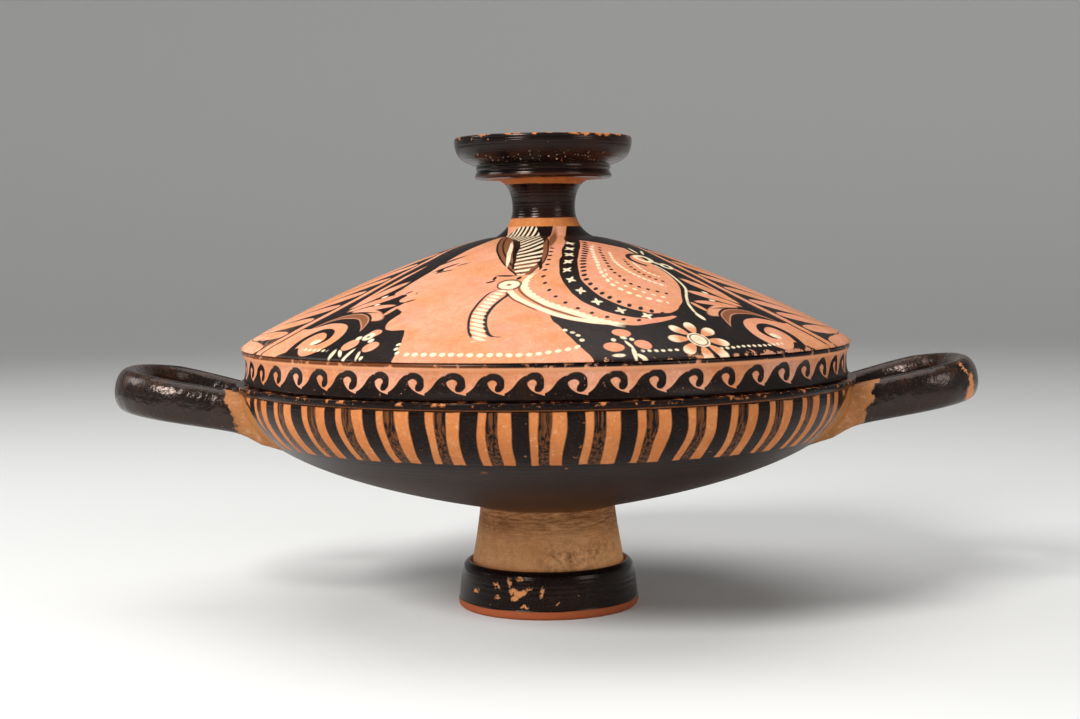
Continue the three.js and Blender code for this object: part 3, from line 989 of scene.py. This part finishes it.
# %% Leaves, berries, features and drops
plan = flat_place(plan_x, plan_y)
mirror = flat_place(mirror_x, plan_y)
leaves = brush_marks(mirror, [
    (60, -45.5, 17, 1.2, -39), (63.6, -53.8, 11.5, 2.7, -19), (64.8, -61.4, 10.5, 2.3, 6),
    (64.8, -67.2, 9.5, 1.6, 27), (66.4, -72.0, 10.3, 3.4, 57), (57.5, -75.5, 3.6, 1.2, -38),
])
bare = bare | leaves & outside_palmette
bare = bare | brush_marks(plan, [
    (27, -107.5, 3.5, 2.3, 0), (24, -116.4, 3.7, 2.5, 5), (34.5, -113, 3.3, 2.5, -10),
    (-71, -94, 3.4, 3, 20), (-63, -100.5, 3.2, 2.7, 15), (-62, -91.3, 2.6, 2.4, 0),
])
dark = dark | ~bare
dark = dark | brush_marks(mirror, [
    (65, -58, 10.5, 0.45, -7), (66, -64.3, 8, 0.4, 16), (68.3, -68.6, 7, 0.4, 42),
]) & outside_palmette
dark = dark | brush_marks(plan, [
    (-37.2, -38.2, 6.6, 0.85, 20), (-38.2, -45.2, 5.2, 0.8, 17), (-39.0, -49.6, 3.8, 0.55, -6),
    (-40.6, -47.2, 1.5, 1.9, 0), (-51.5, -62.4, 1.5, 0.5, 24), (-51, -71.4, 2.4, 0.5, -3),
    (-31.6, -46.6, 2.6, 0.45, 6), (-14.6, -65.4, 3.6, 0.75, -14), (-18.7, -66.8, 1.7, 0.7, 75),
    (-20.2, -69.3, 1.9, 0.6, 10), (-9.6, -68.6, 1.6, 0.8, 60),
])
thin = thin | brush_marks(plan, [
    (-54, -80, 1.3, 0.3, 35), (-48.6, -65.5, 1.1, 0.3, 70), (3.4, -27, 11.5, 1.5, 84),
])
white = white | brush_marks(mirror, [
    (85.4, -80.2, 2.3, 1.6, 20), (61.3, -58.6, 1.4, 0.8, 0), (63.5, -65, 1.4, 0.7, 25),
]) & outside_palmette
white = white | brush_marks(plan, [
    (-13.6, -43, 14.5, 0.85, 87), (-13.3, -73.8, 3.9, 3.5, 0), (35.5, -26.5, 3.2, 0.7, -59),
    (39.3, -25.5, 3.5, 0.6, -85), (44, -37.5, 3, 1.2, -18), (57, -84.5, 2.6, 1.0, -52),
    (-64.3, -92.6, 2.4, 2.1, 0),
])
white = white | brush_marks(plan, [
    (24, -112.4, 0.9, 0.9, 0), (27.6, -110.3, 1.3, 0.8, 0), (30.6, -110.6, 0.9, 0.9, 0),
    (29.4, -114, 2.6, 0.65, -55), (31, -118.6, 3, 0.8, -80), (25.5, -120.6, 2.2, 0.8, 10),
    (33.6, -119.6, 2, 0.8, -20), (-68, -91.2, 1.2, 1.2, 0), (-63, -96.2, 1.2, 1.2, 0),
    (-77.5, -95.6, 2.4, 0.9, 60), (-74.5, -97.2, 2.2, 0.7, 100), (-71.5, -100.5, 3.4, 0.8, 40),
    (-67.5, -103.3, 2.2, 0.7, 75), (-66, -105.6, 0.8, 0.8, 0), (-52.6, -104.6, 0.9, 0.8, 0),
    (-53.2, -107, 0.9, 0.8, 0), (-52.6, -109.6, 0.9, 0.8, 0), (7, -108, 0.9, 0.8, 0),
    (9.6, -109.4, 0.9, 0.8, 0), (11.4, -111.2, 0.9, 0.8, 0), (12.8, -114, 1, 0.9, 0),
])
touches = rosette_ring | brush_marks(plan, [
    (-13.3, -73.8, 0.9, 0.9, 0), (-64.3, -92.6, 0.7, 0.7, 0),
])
print("nodes so far:", len(Field.tree.nodes))

# %% [markdown]
# ## Laying the paint in order
# Each layer covers what is under it, in the painter's order: dark ground round the bare
# clay, thinned slip, white, then dark touches on the white. Last comes the wear, which takes
# paint off again in small chips.

# %% Mix the lid's layers
PICTURE_EDGE = 122.6
chips = speckle(lid_place, 0.55, 4, 0.65).scaled(14, -9.9)
edge_loss = speckle(lid_place, 0.28, 4, 0.7).maths("MULTIPLY_ADD", 11, -9.0) + lid_x / 80
chips = chips | (rim_reach - PICTURE_EDGE + edge_loss).inside(0.4) & (rim_reach - 117).inside(3)
scuffs = speckle(lid_place, 0.25, 5, 0.75).scaled(3, -1.35)
rosy = speckle(lid_place, 0.045, 5, 0.75).scaled(7, -3.6)
lid_clay = mix(rosy * 0.62, clay_colour(lid_place), CLAY_ROSE)
faded = (lid_x * -1 - 96).scaled(0.05, 0) & scuffs.scaled(3, -0.2)
lid_clay = mix(faded * 0.6, lid_clay, CLAY_PALE)
coloured = mix(thin * 0.85, lid_clay, THIN_SLIP)
coloured = mix(dark * (1 - (chips | faded * 0.5) * 0.8), coloured, slip_colour(lid_place))
coloured = mix(white * (0.95 - scuffs * 0.5), coloured, CREAM)
coloured = mix(touches * 0.85, coloured, THIN_SLIP)
lid_rough = 0.62 - (dark & ~white & ~chips) * (0.26 - scuffs * 0.1)
lid_height = speckle(lid_place, 1.1, 3, 0.7) * 0.35 - chips * 0.3
finish(lid_shader, coloured, lid_rough, lid_height, 0.22, 0.7)
print("lid picture nodes:", len(Field.tree.nodes))

# %% [markdown]
# ## Wear that all the pieces share
# On the real vessel the gloss has flaked off in small spots, mostly along edges, and fine
# lines from the wheel run round it. Flakes are cut from cloudy noise; wheel lines are noise
# that changes with height and radius only, so it runs round as rings.

# %% Helpers for wear and for places round the vessel
def around(x, y):
    """Degrees round the vessel from the front, growing to the right."""
    return x.maths("ARCTAN2", y * -1) * math.degrees(1)


def flakes(place, amount, scale, sharp=14.0):
    """Spots where the paint has come off. Amount runs from 0 (none) to about 0.5."""
    return speckle(place, scale, 3, 0.6).scaled(sharp, -sharp * (0.8 - amount))


def wheel_lines(x, y, z, scale=0.9):
    """Fine rings left by the potter's fingers and tools."""
    rings = seen_flat(length(x, y) * scale, z * scale)
    return speckle(rings, 1.0, 2, 0.6)


def patches_of_clay(plane, spots, soft):
    """Larger chips, placed one by one, with edges that are broken up by fine noise."""
    ragged = speckle(plane, 0.75, 3, 0.7).maths("MULTIPLY_ADD", 4.4, -2.2)
    jagged = Field.node("VectorMath", {"operation": "ADD"}, {0: plane, 1: ragged}, "Vector")
    return brush_marks(jagged, spots, soft)


STREAK_BROWN = paint(104, 62, 34)
BAND_CLAY = paint(208, 132, 84)
BAND_PINK = paint(224, 164, 136)
WALL_CLAY = paint(196, 118, 66)
WALL_LIGHT = paint(206, 132, 78)
WALL_DEEP = paint(168, 92, 48)
RIDGE_WEAR_AND_HIGHLIGHT_CLAY = paint(232, 158, 112)
ROOT_CLAY = paint(156, 104, 52)
ROOT_LIGHT = paint(182, 118, 68)
ROOT_DEEP = paint(110, 68, 34)

# %% [markdown]
# ## The lid's edge
# A row of running waves goes round the upright band, black on bare clay, 54 of them. Each
# wave is a hump that leans to the right and ends in a hook. The hook is a ring round the
# wave's eye whose middle and width change with the angle; the hump is a shape with a left
# and a right edge for each height. The ridge above was a black line, browner towards the left.
# Below it a band of paler clay stands for worn paint and is also a painted highlight on the rounded
# edge.

# %% Running waves
WAVES = 54
WAVE_PHASE = -1.8
WAVE_EYE_HEIGHT = 102.2
WAVE_FOOT_HEIGHT = 97.8
WAVE_FIELD_TOP = 106.2
RIDGE_LINE_FOOT = 107.7
RIDGE_LINE_TOP = 109.9
band_paint, band_shader, band_place = surface("lid_edge")
band_x, band_y, band_z = split(band_place, 1.6, 0.045)
band_turn = around(band_x, band_y)
wave_share = ((band_turn - WAVE_PHASE) / (360 / WAVES) + 0.75).fract() - 0.75
wave_side = wave_share * (math.tau * LID_RADIUS / WAVES)
wave_up = band_z - WAVE_EYE_HEIGHT + speckle(band_place, 0.07, 1).maths("MULTIPLY_ADD", 1.6, -0.8)
hook_turn, hook_reach = polar(wave_side, wave_up, 0, 0)
hook_middle = hook_turn.curve([
    (0, 2.65), (45, 3.0), (75, 3.2), (90, 3.2), (175, 1.95), (225, 2.1), (270, 2.35), (315, 2.5),
    (360, 2.65),
])
hook_width = hook_turn.curve([
    (0, 1.35), (45, 1.15), (75, 0.7), (90, -0.4), (168, -0.7), (184, 0.5), (200, 1.1), (225, 1.45),
    (270, 1.5), (315, 1.45), (360, 1.35),
])
waves = hook_width - abs(hook_reach - hook_middle)
hump_left = wave_up.curve([
    (-4.2, -11.6), (-3.5, -10.2), (-3.1, -9.3), (-1.9, -7.6), (-0.5, -6.3), (0.7, -5.4), (1.6, -4.5),
    (2.6, -3.1), (3.2, -1.6),
])
hump_right = wave_up.curve([
    (-4.2, 3.4), (-3.9, 2.3), (-3.5, 0.9), (-3.1, -0.2), (-1.9, -1.9), (-0.5, -2.9), (0.7, -3.1),
    (1.5, -2.6), (2.1, -1.8), (3.2, -1.4),
])
waves = waves | (wave_side - hump_left + 1.1) & (hump_right - wave_side + 0.5) & (2.9 - wave_up)
waves = waves | (WAVE_FOOT_HEIGHT - band_z)
band_dark = waves.inside(0.4) & (WAVE_FIELD_TOP - band_z).inside()
band_worn = flakes(band_place, 0.13, 0.8)
ridge_line = between(band_z, RIDGE_LINE_FOOT, RIDGE_LINE_TOP, 0.5)
ridge_chips = flakes(band_place, 0.23, 0.22, 10) & between(band_z, 106.5, 109.2, 0.6)
ridge_brown = (band_x * -1 - 12).scaled(0.03, 0)
band_clay = clay_colour(band_place, BAND_CLAY, BAND_PINK, WALL_DEEP)
# Paler clay along the ridge's lower rounded edge: worn paint, and a painted highlight where the edge
# catches the light.
ridge_wear_and_highlight = between(band_z, 106.4, 107.8, 0.7) * 0.75
band_colour = mix(ridge_wear_and_highlight, band_clay, RIDGE_WEAR_AND_HIGHLIGHT_CLAY)
band_colour = mix(band_dark * (1 - band_worn * 0.75), band_colour, slip_colour(band_place))
ridge_slip = mix(ridge_brown, SLIP_BLACK, THIN_SLIP)
band_colour = mix(ridge_line * (1 - ridge_chips), band_colour, ridge_slip)
band_rough = 0.6 - (band_dark | ridge_line) * (1 - band_worn) * 0.3
band_height = wheel_lines(band_x, band_y, band_z) * 0.5 - band_worn * 0.3
finish(band_shader, band_colour, band_rough, band_height, 0.2, 0.6)
print("wave nodes:", len(Field.tree.nodes))

# %% [markdown]
# ## The knob
# It is covered in black gloss, with two bands left bare, over and under its stem. The gloss
# has worn off all along the dish's lip, where fingers lift the lid, and flaked in small spots.

# %% Paint the knob
KNOB_CLAY = paint(190, 114, 56)
KNOB_LIGHT = paint(202, 126, 66)
KNOB_BROWN = paint(64, 32, 18)
STEM_PAINT_FOOT = 161.3
STEM_PAINT_HEAD = 175.1
COLLAR_UNDERSIDE = 177.3
knob_paint, knob_shader, knob_place = surface("lid_knob")
knob_x, knob_y, knob_z = split(knob_place)
knob_reach = length(knob_x, knob_y)
knob_wave = speckle(knob_place, 0.12, 2).maths("MULTIPLY_ADD", 0.9, -0.45)
knob_high = knob_z + knob_wave
bare_foot = (STEM_PAINT_FOOT - knob_high).inside(0.4)
bare_head = between(knob_high, STEM_PAINT_HEAD, COLLAR_UNDERSIDE, 0.4)
knob_bare = bare_foot | bare_head & (COLLAR_RADIUS - 2 - knob_reach).inside()
lip_noise = speckle(knob_place, 0.24, 4, 0.7).maths("MULTIPLY_ADD", 8, -4.7)
lip_worn = (knob_z - (DISH_TOP - 0.9) + lip_noise).inside(0.5) & (knob_reach - 33.2).inside(0.5)
lip_worn = lip_worn & (knob_z - 192.2).inside(0.6)
collar_line = between(knob_high, 177.7, 178.9, 0.4) & (knob_reach - 20).inside()
knob_flakes = flakes(knob_place, 0.1, 0.45) | lip_worn
knob_specks = flakes(knob_place, 0.15, 0.85) & between(knob_z, 183.5, 187, 1)
knob_brown = (0.5 - speckle(knob_place, 0.05, 2) + knob_x / 90).scaled(1.2, 0.06)
knob_slip = mix(knob_brown | collar_line * 0.8, SLIP_BLACK, KNOB_BROWN)
knob_clay = clay_colour(knob_place, KNOB_CLAY, KNOB_LIGHT, WALL_DEEP)
knob_colour = mix(knob_bare | knob_flakes, knob_slip, knob_clay)
paint_edge = line(knob_high - (STEM_PAINT_FOOT + 0.4), 0.35) * 0.8
knob_colour = mix(paint_edge, knob_colour, SLIP_BROWN)
knob_colour = mix(knob_specks, knob_colour, CREAM)
knob_rough = (knob_bare | knob_flakes).maths("MULTIPLY_ADD", 0.42, 0.18)
knob_height = wheel_lines(knob_x, knob_y, knob_z) - (knob_flakes * 0.4)
finish(knob_shader, knob_colour, knob_rough, knob_height, 0.4, 0.8, 0.24)

# %% [markdown]
# ## The bowl's wall
# Upright strokes go round under the ledge, 84 of them. Every other one is solid; the ones
# between were pulled with a brush that was running dry, so brown streaks show in them. Below
# the strokes the bowl is black down to its stem. The ledge is black too, chipped at its edge.

# %% Strokes and gloss on the wall
STROKE_PAIRS = 42
STROKE_PHASE = -4.2
STROKES_TOP = 92.3
STROKES_FOOT = 72.6
STROKE_RADIUS = 124
SOLID_HALF_WIDTH = 3.15
DRY_HALF_WIDTH = 2.25
DRY_AFTER_SOLID = 8.4
LOW_WALL = 74
wall_paint, wall_shader, wall_place = surface("bowl_wall")
wall_x, wall_y, wall_z = split(wall_place, 2.2, 0.045)
wall_share = ((around(wall_x, wall_y) - STROKE_PHASE) / (360 / STROKE_PAIRS) + 0.3).fract() - 0.3
wall_side = wall_share * (math.tau * STROKE_RADIUS / STROKE_PAIRS)
pulled_down = Field.node("Mapping", None, {"Vector": wall_place, "Scale": (1, 1, 0.025)})
solid = (SOLID_HALF_WIDTH - abs(wall_side)).inside(0.5)
dry = (DRY_HALF_WIDTH - abs(wall_side - DRY_AFTER_SOLID)).inside(0.5)
foot_unevenness = speckle(wall_place, 0.16, 2).maths("MULTIPLY_ADD", 3.4, -1.7)
stroke_zone = between(wall_z + foot_unevenness * 0.3, STROKES_FOOT, STROKES_TOP, 0.4)
gap = stroke_zone & ~(solid | dry)
streaks = speckle(pulled_down, 1.0, 2, 0.6).scaled(5, -2.1) & dry & stroke_zone
seam = between(wall_z, 92.75, 93.15, 0.3) * 0.55
wall_flakes = flakes(wall_place, 0.08, 0.4)
edge_chips = flakes(wall_place, 0.235, 0.28, 16) & (wall_z - 94.5).inside(0.8)
big_chips = flakes(wall_place, 0.13, 0.2, 16) & between(wall_z, 70, 80, 3)
root_wobble = speckle(wall_place, 0.2, 3, 0.7).maths("MULTIPLY_ADD", 3, -1.5)
root_edge = abs(wall_x) - 104.5 - (wall_z - 73) * 0.8 + root_wobble
by_root = (abs(wall_y) - 22).inside(2) & between(wall_z, 70.5, 92.6, 0.6)
root_patch = root_edge.inside(0.6) & by_root
root_line = line(root_edge + 1, 0.8) & by_root
gap = (gap & ~root_line) | root_patch
wall_bare = gap | edge_chips | (wall_flakes | big_chips) * 0.85
near_stem = (58 - length(wall_x, wall_y)).scaled(0.035, 0)
low_brown = (LOW_WALL - wall_z).scaled(0.06, 0) * 0.16
wall_slip = mix(streaks | near_stem * 0.8 | low_brown, slip_colour(wall_place), STREAK_BROWN)
wall_clay = clay_colour(wall_place, WALL_CLAY, WALL_LIGHT, WALL_DEEP)
wall_clay = mix(root_patch * 0.8, wall_clay, ROOT_CLAY)
wall_colour = mix(wall_bare | seam, wall_slip, wall_clay)
wall_rough = (wall_bare & ~seam).maths("MULTIPLY_ADD", 0.36, 0.26) + streaks * 0.1
wall_rough = wall_rough + (LOW_WALL - wall_z).scaled(0.1, 0) * 0.2
wall_height = wheel_lines(wall_x, wall_y, wall_z, 0.7) - wall_flakes * 0.4
finish(wall_shader, wall_colour, wall_rough, wall_height, 0.25, 0.7, 0.12)
print("wall nodes:", len(Field.tree.nodes))

# %% [markdown]
# ## Stem and foot
# The stem was left bare and has taken stains; its top, under the bowl, is painted darker as
# painted shade. The foot's ring is black, with the largest chips of the whole vessel on its
# front, and its lowest edge is bare and redder. The chips are placed one by one, seen from the front.

# %% Paint stem and foot
STEM_CLAY = paint(240, 174, 114)
STEM_LIGHT = paint(246, 188, 132)
STEM_DEEP = paint(186, 114, 60)
STEM_PAINTED_SHADE = paint(124, 74, 40)
STAIN = paint(128, 72, 38)
EDGE_RED = paint(176, 92, 54)
EDGE_RED_DARK = paint(140, 70, 40)
foot_paint, foot_shader, foot_place = surface("bowl_foot")
foot_x, foot_y, foot_z = split(foot_place)
foot_drift = speckle(foot_place, 0.1, 2).maths("MULTIPLY_ADD", 0.8, -0.4)
foot_reach = length(foot_x, foot_y)
on_ring = between(foot_z + foot_drift * 0.6, 3.5, 24, 0.35) & (foot_reach - 31.95).inside(0.3)
front_plane = seen_flat(foot_x, foot_z)
front_side = (0 - foot_y).inside()
ring_chips = patches_of_clay(front_plane, [
    (-15.8, 14.8, 0.8, 1.9, 5), (-11.4, 16.4, 1.4, 0.8, -10), (-21.0, 13.0, 1.7, 0.8, -40),
    (-20.6, 8.6, 1.2, 0.7, 0), (-29.4, 9.6, 1.0, 0.9, 10), (-13.6, 11.0, 2.2, 1.3, -25),
    (-11.0, 10.6, 2.3, 1.1, 25), (-13.6, 8.6, 1.8, 0.9, 10), (-8.0, 12.6, 1.3, 0.5, 0),
    (-2.6, 11.4, 0.7, 2.2, -10), (-9.6, 5.4, 1.5, 0.7, -10), (3.5, 6.6, 0.4, 0.4, 0),
    (12, 9.6, 0.4, 0.3, 0),
], 0.4) & front_side
ring_flakes = ring_chips | flakes(foot_place, 0.07, 0.5)
ring_dark = on_ring * (1 - ring_flakes)
# Painted shade: the stem is darkened towards its top under the bowl, and a little where it meets the
# ring.
stem_painted_shade = foot_z.curve([(18, 0.1), (22, 0), (28, 0.15), (33, 0.55), (38, 0.9), (42, 1)])
round_stem = Field.node("Mapping", None, {"Vector": foot_place, "Scale": (0.12, 0.12, 1)})
stem_streaks = speckle(round_stem, 1.2, 3, 0.7)
stem_clay = clay_colour(foot_place, STEM_CLAY, STEM_LIGHT, STEM_DEEP)
stem_clay = mix(stem_painted_shade * stem_streaks.scaled(2.2, -0.4), stem_clay, STEM_PAINTED_SHADE)
stain_spots = patches_of_clay(front_plane, [
    (8, 23.5, 9, 4, 0), (20, 26, 5, 3, 20), (-20, 36, 6, 2, 0),
], 6)
stain_cloud = speckle(foot_place, 0.4, 4, 0.7).scaled(4, -1.6)
stem_clay = mix(stain_spots * stain_cloud, stem_clay, STAIN)
red_edge = mix(stem_streaks * 0.5, EDGE_RED, EDGE_RED_DARK)
foot_colour = mix((FOOT_EDGE_HEIGHT + 0.3 - foot_z).inside(0.5), stem_clay, red_edge)
foot_colour = mix(ring_chips & on_ring, foot_colour, CHIP)
foot_colour = mix(ring_dark, foot_colour, slip_colour(foot_place))
foot_colour = mix(line(foot_z - 42.3, 0.3) * 0.7, foot_colour, SLIP_BROWN)
foot_rough = ring_dark.maths("MULTIPLY_ADD", -0.46, 0.68)
foot_height = wheel_lines(foot_x, foot_y, foot_z) - ring_flakes * on_ring * 0.8
finish(foot_shader, foot_colour, foot_rough, foot_height, 0.22, 0.8)

# %% [markdown]
# ## Handles
# The straps are black, brown and dusty in mottled spots where the gloss is thin on top; these
# spots also paint the tops paler, as a painted sheen from the light above. The right one is
# rubbed through to the clay on its outer corner. Round their roots the clay was left bare,
# with a ragged edge where the brush stopped.

# %% Paint the handles
grip_paint, grip_shader, grip_place = surface("bowl_handles")
grip_x, grip_y, grip_z = split(grip_place)
grip_reach = abs(grip_x)
root_noise = speckle(grip_place, 0.16, 4, 0.65).maths("MULTIPLY_ADD", 12, -6)
root_end = grip_x.scaled(1 / 60, 0.5).maths("MULTIPLY_ADD", 3, 120.5) + (grip_z - 72) * 0.38
root_bare = (root_end - grip_reach + root_noise).inside(0.8)
grip_plane = seen_flat(grip_x, grip_z)
rubbed = patches_of_clay(grip_plane, [
    (171.2, 88.2, 4.6, 2.2, 80), (171.8, 93.4, 3.0, 1.4, 100), (168.4, 98, 3.6, 0.5, -50),
], 0.5) & (0 - grip_y).inside(2)
grip_flakes = flakes(grip_place, 0.075, 0.35)
# The tops get brown mottle and pale grit: thin, dusty gloss, and also a painted sheen where light
# falls on the upper faces.
tops_sheen_and_mottle = (grip_z - 92).scaled(0.06, 0)
mottle = speckle(grip_place, 0.22, 4, 0.7).scaled(4, -1.9) * tops_sheen_and_mottle
grip_bare = root_bare | grip_flakes | rubbed
grip_grit = speckle(grip_place, 0.8, 3, 0.8).scaled(5, -2.4) * tops_sheen_and_mottle
grip_slip = mix(mottle, slip_colour(grip_place), STREAK_BROWN)
grip_slip = mix(grip_grit * 0.5, grip_slip, SLIP_DUST)
grip_clay = clay_colour(grip_place, ROOT_CLAY, ROOT_LIGHT, ROOT_DEEP)
grip_clay = mix(rubbed * 0.8, grip_clay, CHIP)
grip_colour = mix(grip_bare, grip_slip, grip_clay)
grip_rough = grip_bare.maths("MULTIPLY_ADD", 0.4, 0.22) + mottle * 0.12
grip_height = speckle(grip_place, 0.2, 4, 0.6) - grip_bare * 0.08
finish(grip_shader, grip_colour, grip_rough, grip_height, 0.9, 0.7, 0.5)

# %% [markdown]
# ## Insides
# Out of sight, the bowl's inside is brushed with the same slip, thinner and browner, and the
# lid's inside and the hollow of the foot are bare clay with wheel lines.

# %% Paint the insides
inner_paint, inner_shader, inner_place = surface("bowl_inside")
inner_x, inner_y, inner_z = split(inner_place)
inner_rings = wheel_lines(inner_x, inner_y, inner_z, 0.5)
inner_colour = mix(inner_rings.scaled(2, -0.6), slip_colour(inner_place), STREAK_BROWN)
finish(inner_shader, inner_colour, inner_rings * 0.2 + 0.35, inner_rings, 0.3, 0.7)
hollow_paint, hollow_shader, hollow_place = surface("bare_inside")
hollow_x, hollow_y, hollow_z = split(hollow_place)
hollow_rings = wheel_lines(hollow_x, hollow_y, hollow_z, 0.5)
hollow_colour = mix(hollow_rings.scaled(2, -0.8) * 0.5, clay_colour(hollow_place), CLAY_DEEP)
finish(hollow_shader, hollow_colour, hollow_rings * 0.1 + 0.65, hollow_rings, 0.4, 0.8)

# %% [markdown]
# ## Which face takes which paint
# Each piece is one mesh, so its faces are shared out between the paints by where they lie and
# which way they face: picture, edge, knob and inside on the lid, and wall, foot, inside and
# handles on the bowl.

# %% Share out the faces
def dress(piece, paints, choose):
    """Gives each face the paint whose number choose() returns for its place and facing."""
    for made in paints:
        piece.data.materials.append(made)
    for face in piece.data.polygons:
        spot = face.center / MM
        reach = math.hypot(spot.x, spot.y)
        outward = (face.normal.x * spot.x + face.normal.y * spot.y) / max(reach, 0.1)
        face.material_index = choose(reach, spot.z, outward, face.normal.z)


KNOB_FROM = 157.35
PICTURE_FROM = 109.45
INSIDE_UP_TO = 119.6


def lid_choice(reach, height, outward, upward):
    """The lid's paints are picture, edge, knob and bare inside, in this order."""
    if height > KNOB_FROM:
        return 2
    if reach < INSIDE_UP_TO and (outward < -0.5 or upward < -0.1) or height < SEAT + 0.1:
        return 3
    return 1 if height < PICTURE_FROM and reach > 122 else 0


def wall_radius(height):
    """The bowl's outer radius at a height, read from its profile."""
    for (r_low, z_low), (r_high, z_high) in zip(bowl_outside, bowl_outside[1:]):
        if z_low <= height <= z_high:
            return r_low + (r_high - r_low) * (height - z_low) / (z_high - z_low)
    return LEDGE_RADIUS


def bowl_choice(reach, height, outward, upward):
    """The bowl's paints are wall, foot, inside, handles and bare hollow, in this order."""
    if height < bowl_outside[0][1] + 0.05 and reach < 60:
        hollow = outward < -0.2 or (upward < -0.8 and height > 1 and reach < 26)
        return 4 if hollow else 1
    if height > 46 and reach < LIP_INNER + 0.4 and (upward > 0.05 or outward < -0.3):
        return 2
    clear_of_wall = reach > wall_radius(height) + 0.45
    above_ledge = height > LEDGE_TOP + 0.15 and reach > LIP_OUTER + 0.4
    return 3 if clear_of_wall or above_ledge else 0


dress(lid, (lid_paint, band_paint, knob_paint, hollow_paint), lid_choice)
dress(bowl, (wall_paint, foot_paint, inner_paint, grip_paint, hollow_paint), bowl_choice)
shares = [face.material_index for face in bowl.data.polygons]
print("faces on wall, foot, inside, handles, hollow:", [shares.count(i) for i in range(5)])

# %% [markdown]
# ## The studio
# The vessel stands on a pale sheet that sweeps up behind it all round, so no edge of a table
# shows. A round lamp from the upper left gives the long shine, a large one hangs overhead,
# and two weak ones light the right side and the left handle.

# %% A pale sheet to stand on
SHEET_FLAT = 1900
SHEET_SWEEP = 1100
SHEET_PALE = paint(230, 230, 228)
SHEET_ROUGHNESS = 0.85
sheet_foot = (SHEET_FLAT, 0)
sheet_turn = (SHEET_FLAT + SHEET_SWEEP, 0)
sheet_end = (SHEET_FLAT + SHEET_SWEEP, SHEET_SWEEP)
sheet_line = [(0, 0), (400, 0), (1200, 0), sheet_foot] + hook(sheet_foot, sheet_turn, sheet_end, 16)
sheet_shape = turned(sheet_line, steps=96)
bmesh.ops.reverse_faces(sheet_shape, faces=sheet_shape.faces)
sheet = placed("sheet", sheet_shape)
sheet_paint, sheet_shader = surface("pale_sheet")[:2]
sheet_shader.inputs["Base Color"].default_value = SHEET_PALE
sheet_shader.inputs["Roughness"].default_value = SHEET_ROUGHNESS
sheet.data.materials.append(sheet_paint)

# %% Hang the pieces on the solids
for piece, node, slot in ((bowl, "bowl", "bowl_clay"), (lid, "lid", "lid_clay")):
    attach(piece, "root")
    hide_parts(node)

# %% Lamps
def lamp(name, place, aim, size, power):
    """A round soft lamp that points at a place. Sizes in metres, power in watts."""
    data = bpy.data.lights.new(name, "AREA")
    data.shape = "DISK"
    data.size = size
    data.energy = power
    thing = bpy.data.objects.new(name, data)
    bpy.context.scene.collection.objects.link(thing)
    thing.location = place
    thing.rotation_euler = (Vector(aim) - Vector(place)).to_track_quat("-Z", "Y").to_euler()


WORLD_GREY = (0.8, 0.8, 0.8, 1)
WORLD_STRENGTH = 0.17
vessel_middle = (0, 0, 0.1)
lamp("key", (-0.75, -1.05, 1.0), vessel_middle, 0.5, 22)
lamp("top", (0, 0.1, 1.5), vessel_middle, 1.6, 11.5)
lamp("right", (1.1, -0.8, 0.7), vessel_middle, 0.6, 4)
lamp("left", (-1.2, 0.15, 0.85), vessel_middle, 0.6, 5)
world = bpy.data.worlds.new("studio")
bpy.context.scene.world = world
world.use_nodes = True
backdrop = world.node_tree.nodes["Background"]
backdrop.inputs["Color"].default_value = WORLD_GREY
backdrop.inputs["Strength"].default_value = WORLD_STRENGTH
bpy.context.scene.view_settings.view_transform = "Standard"
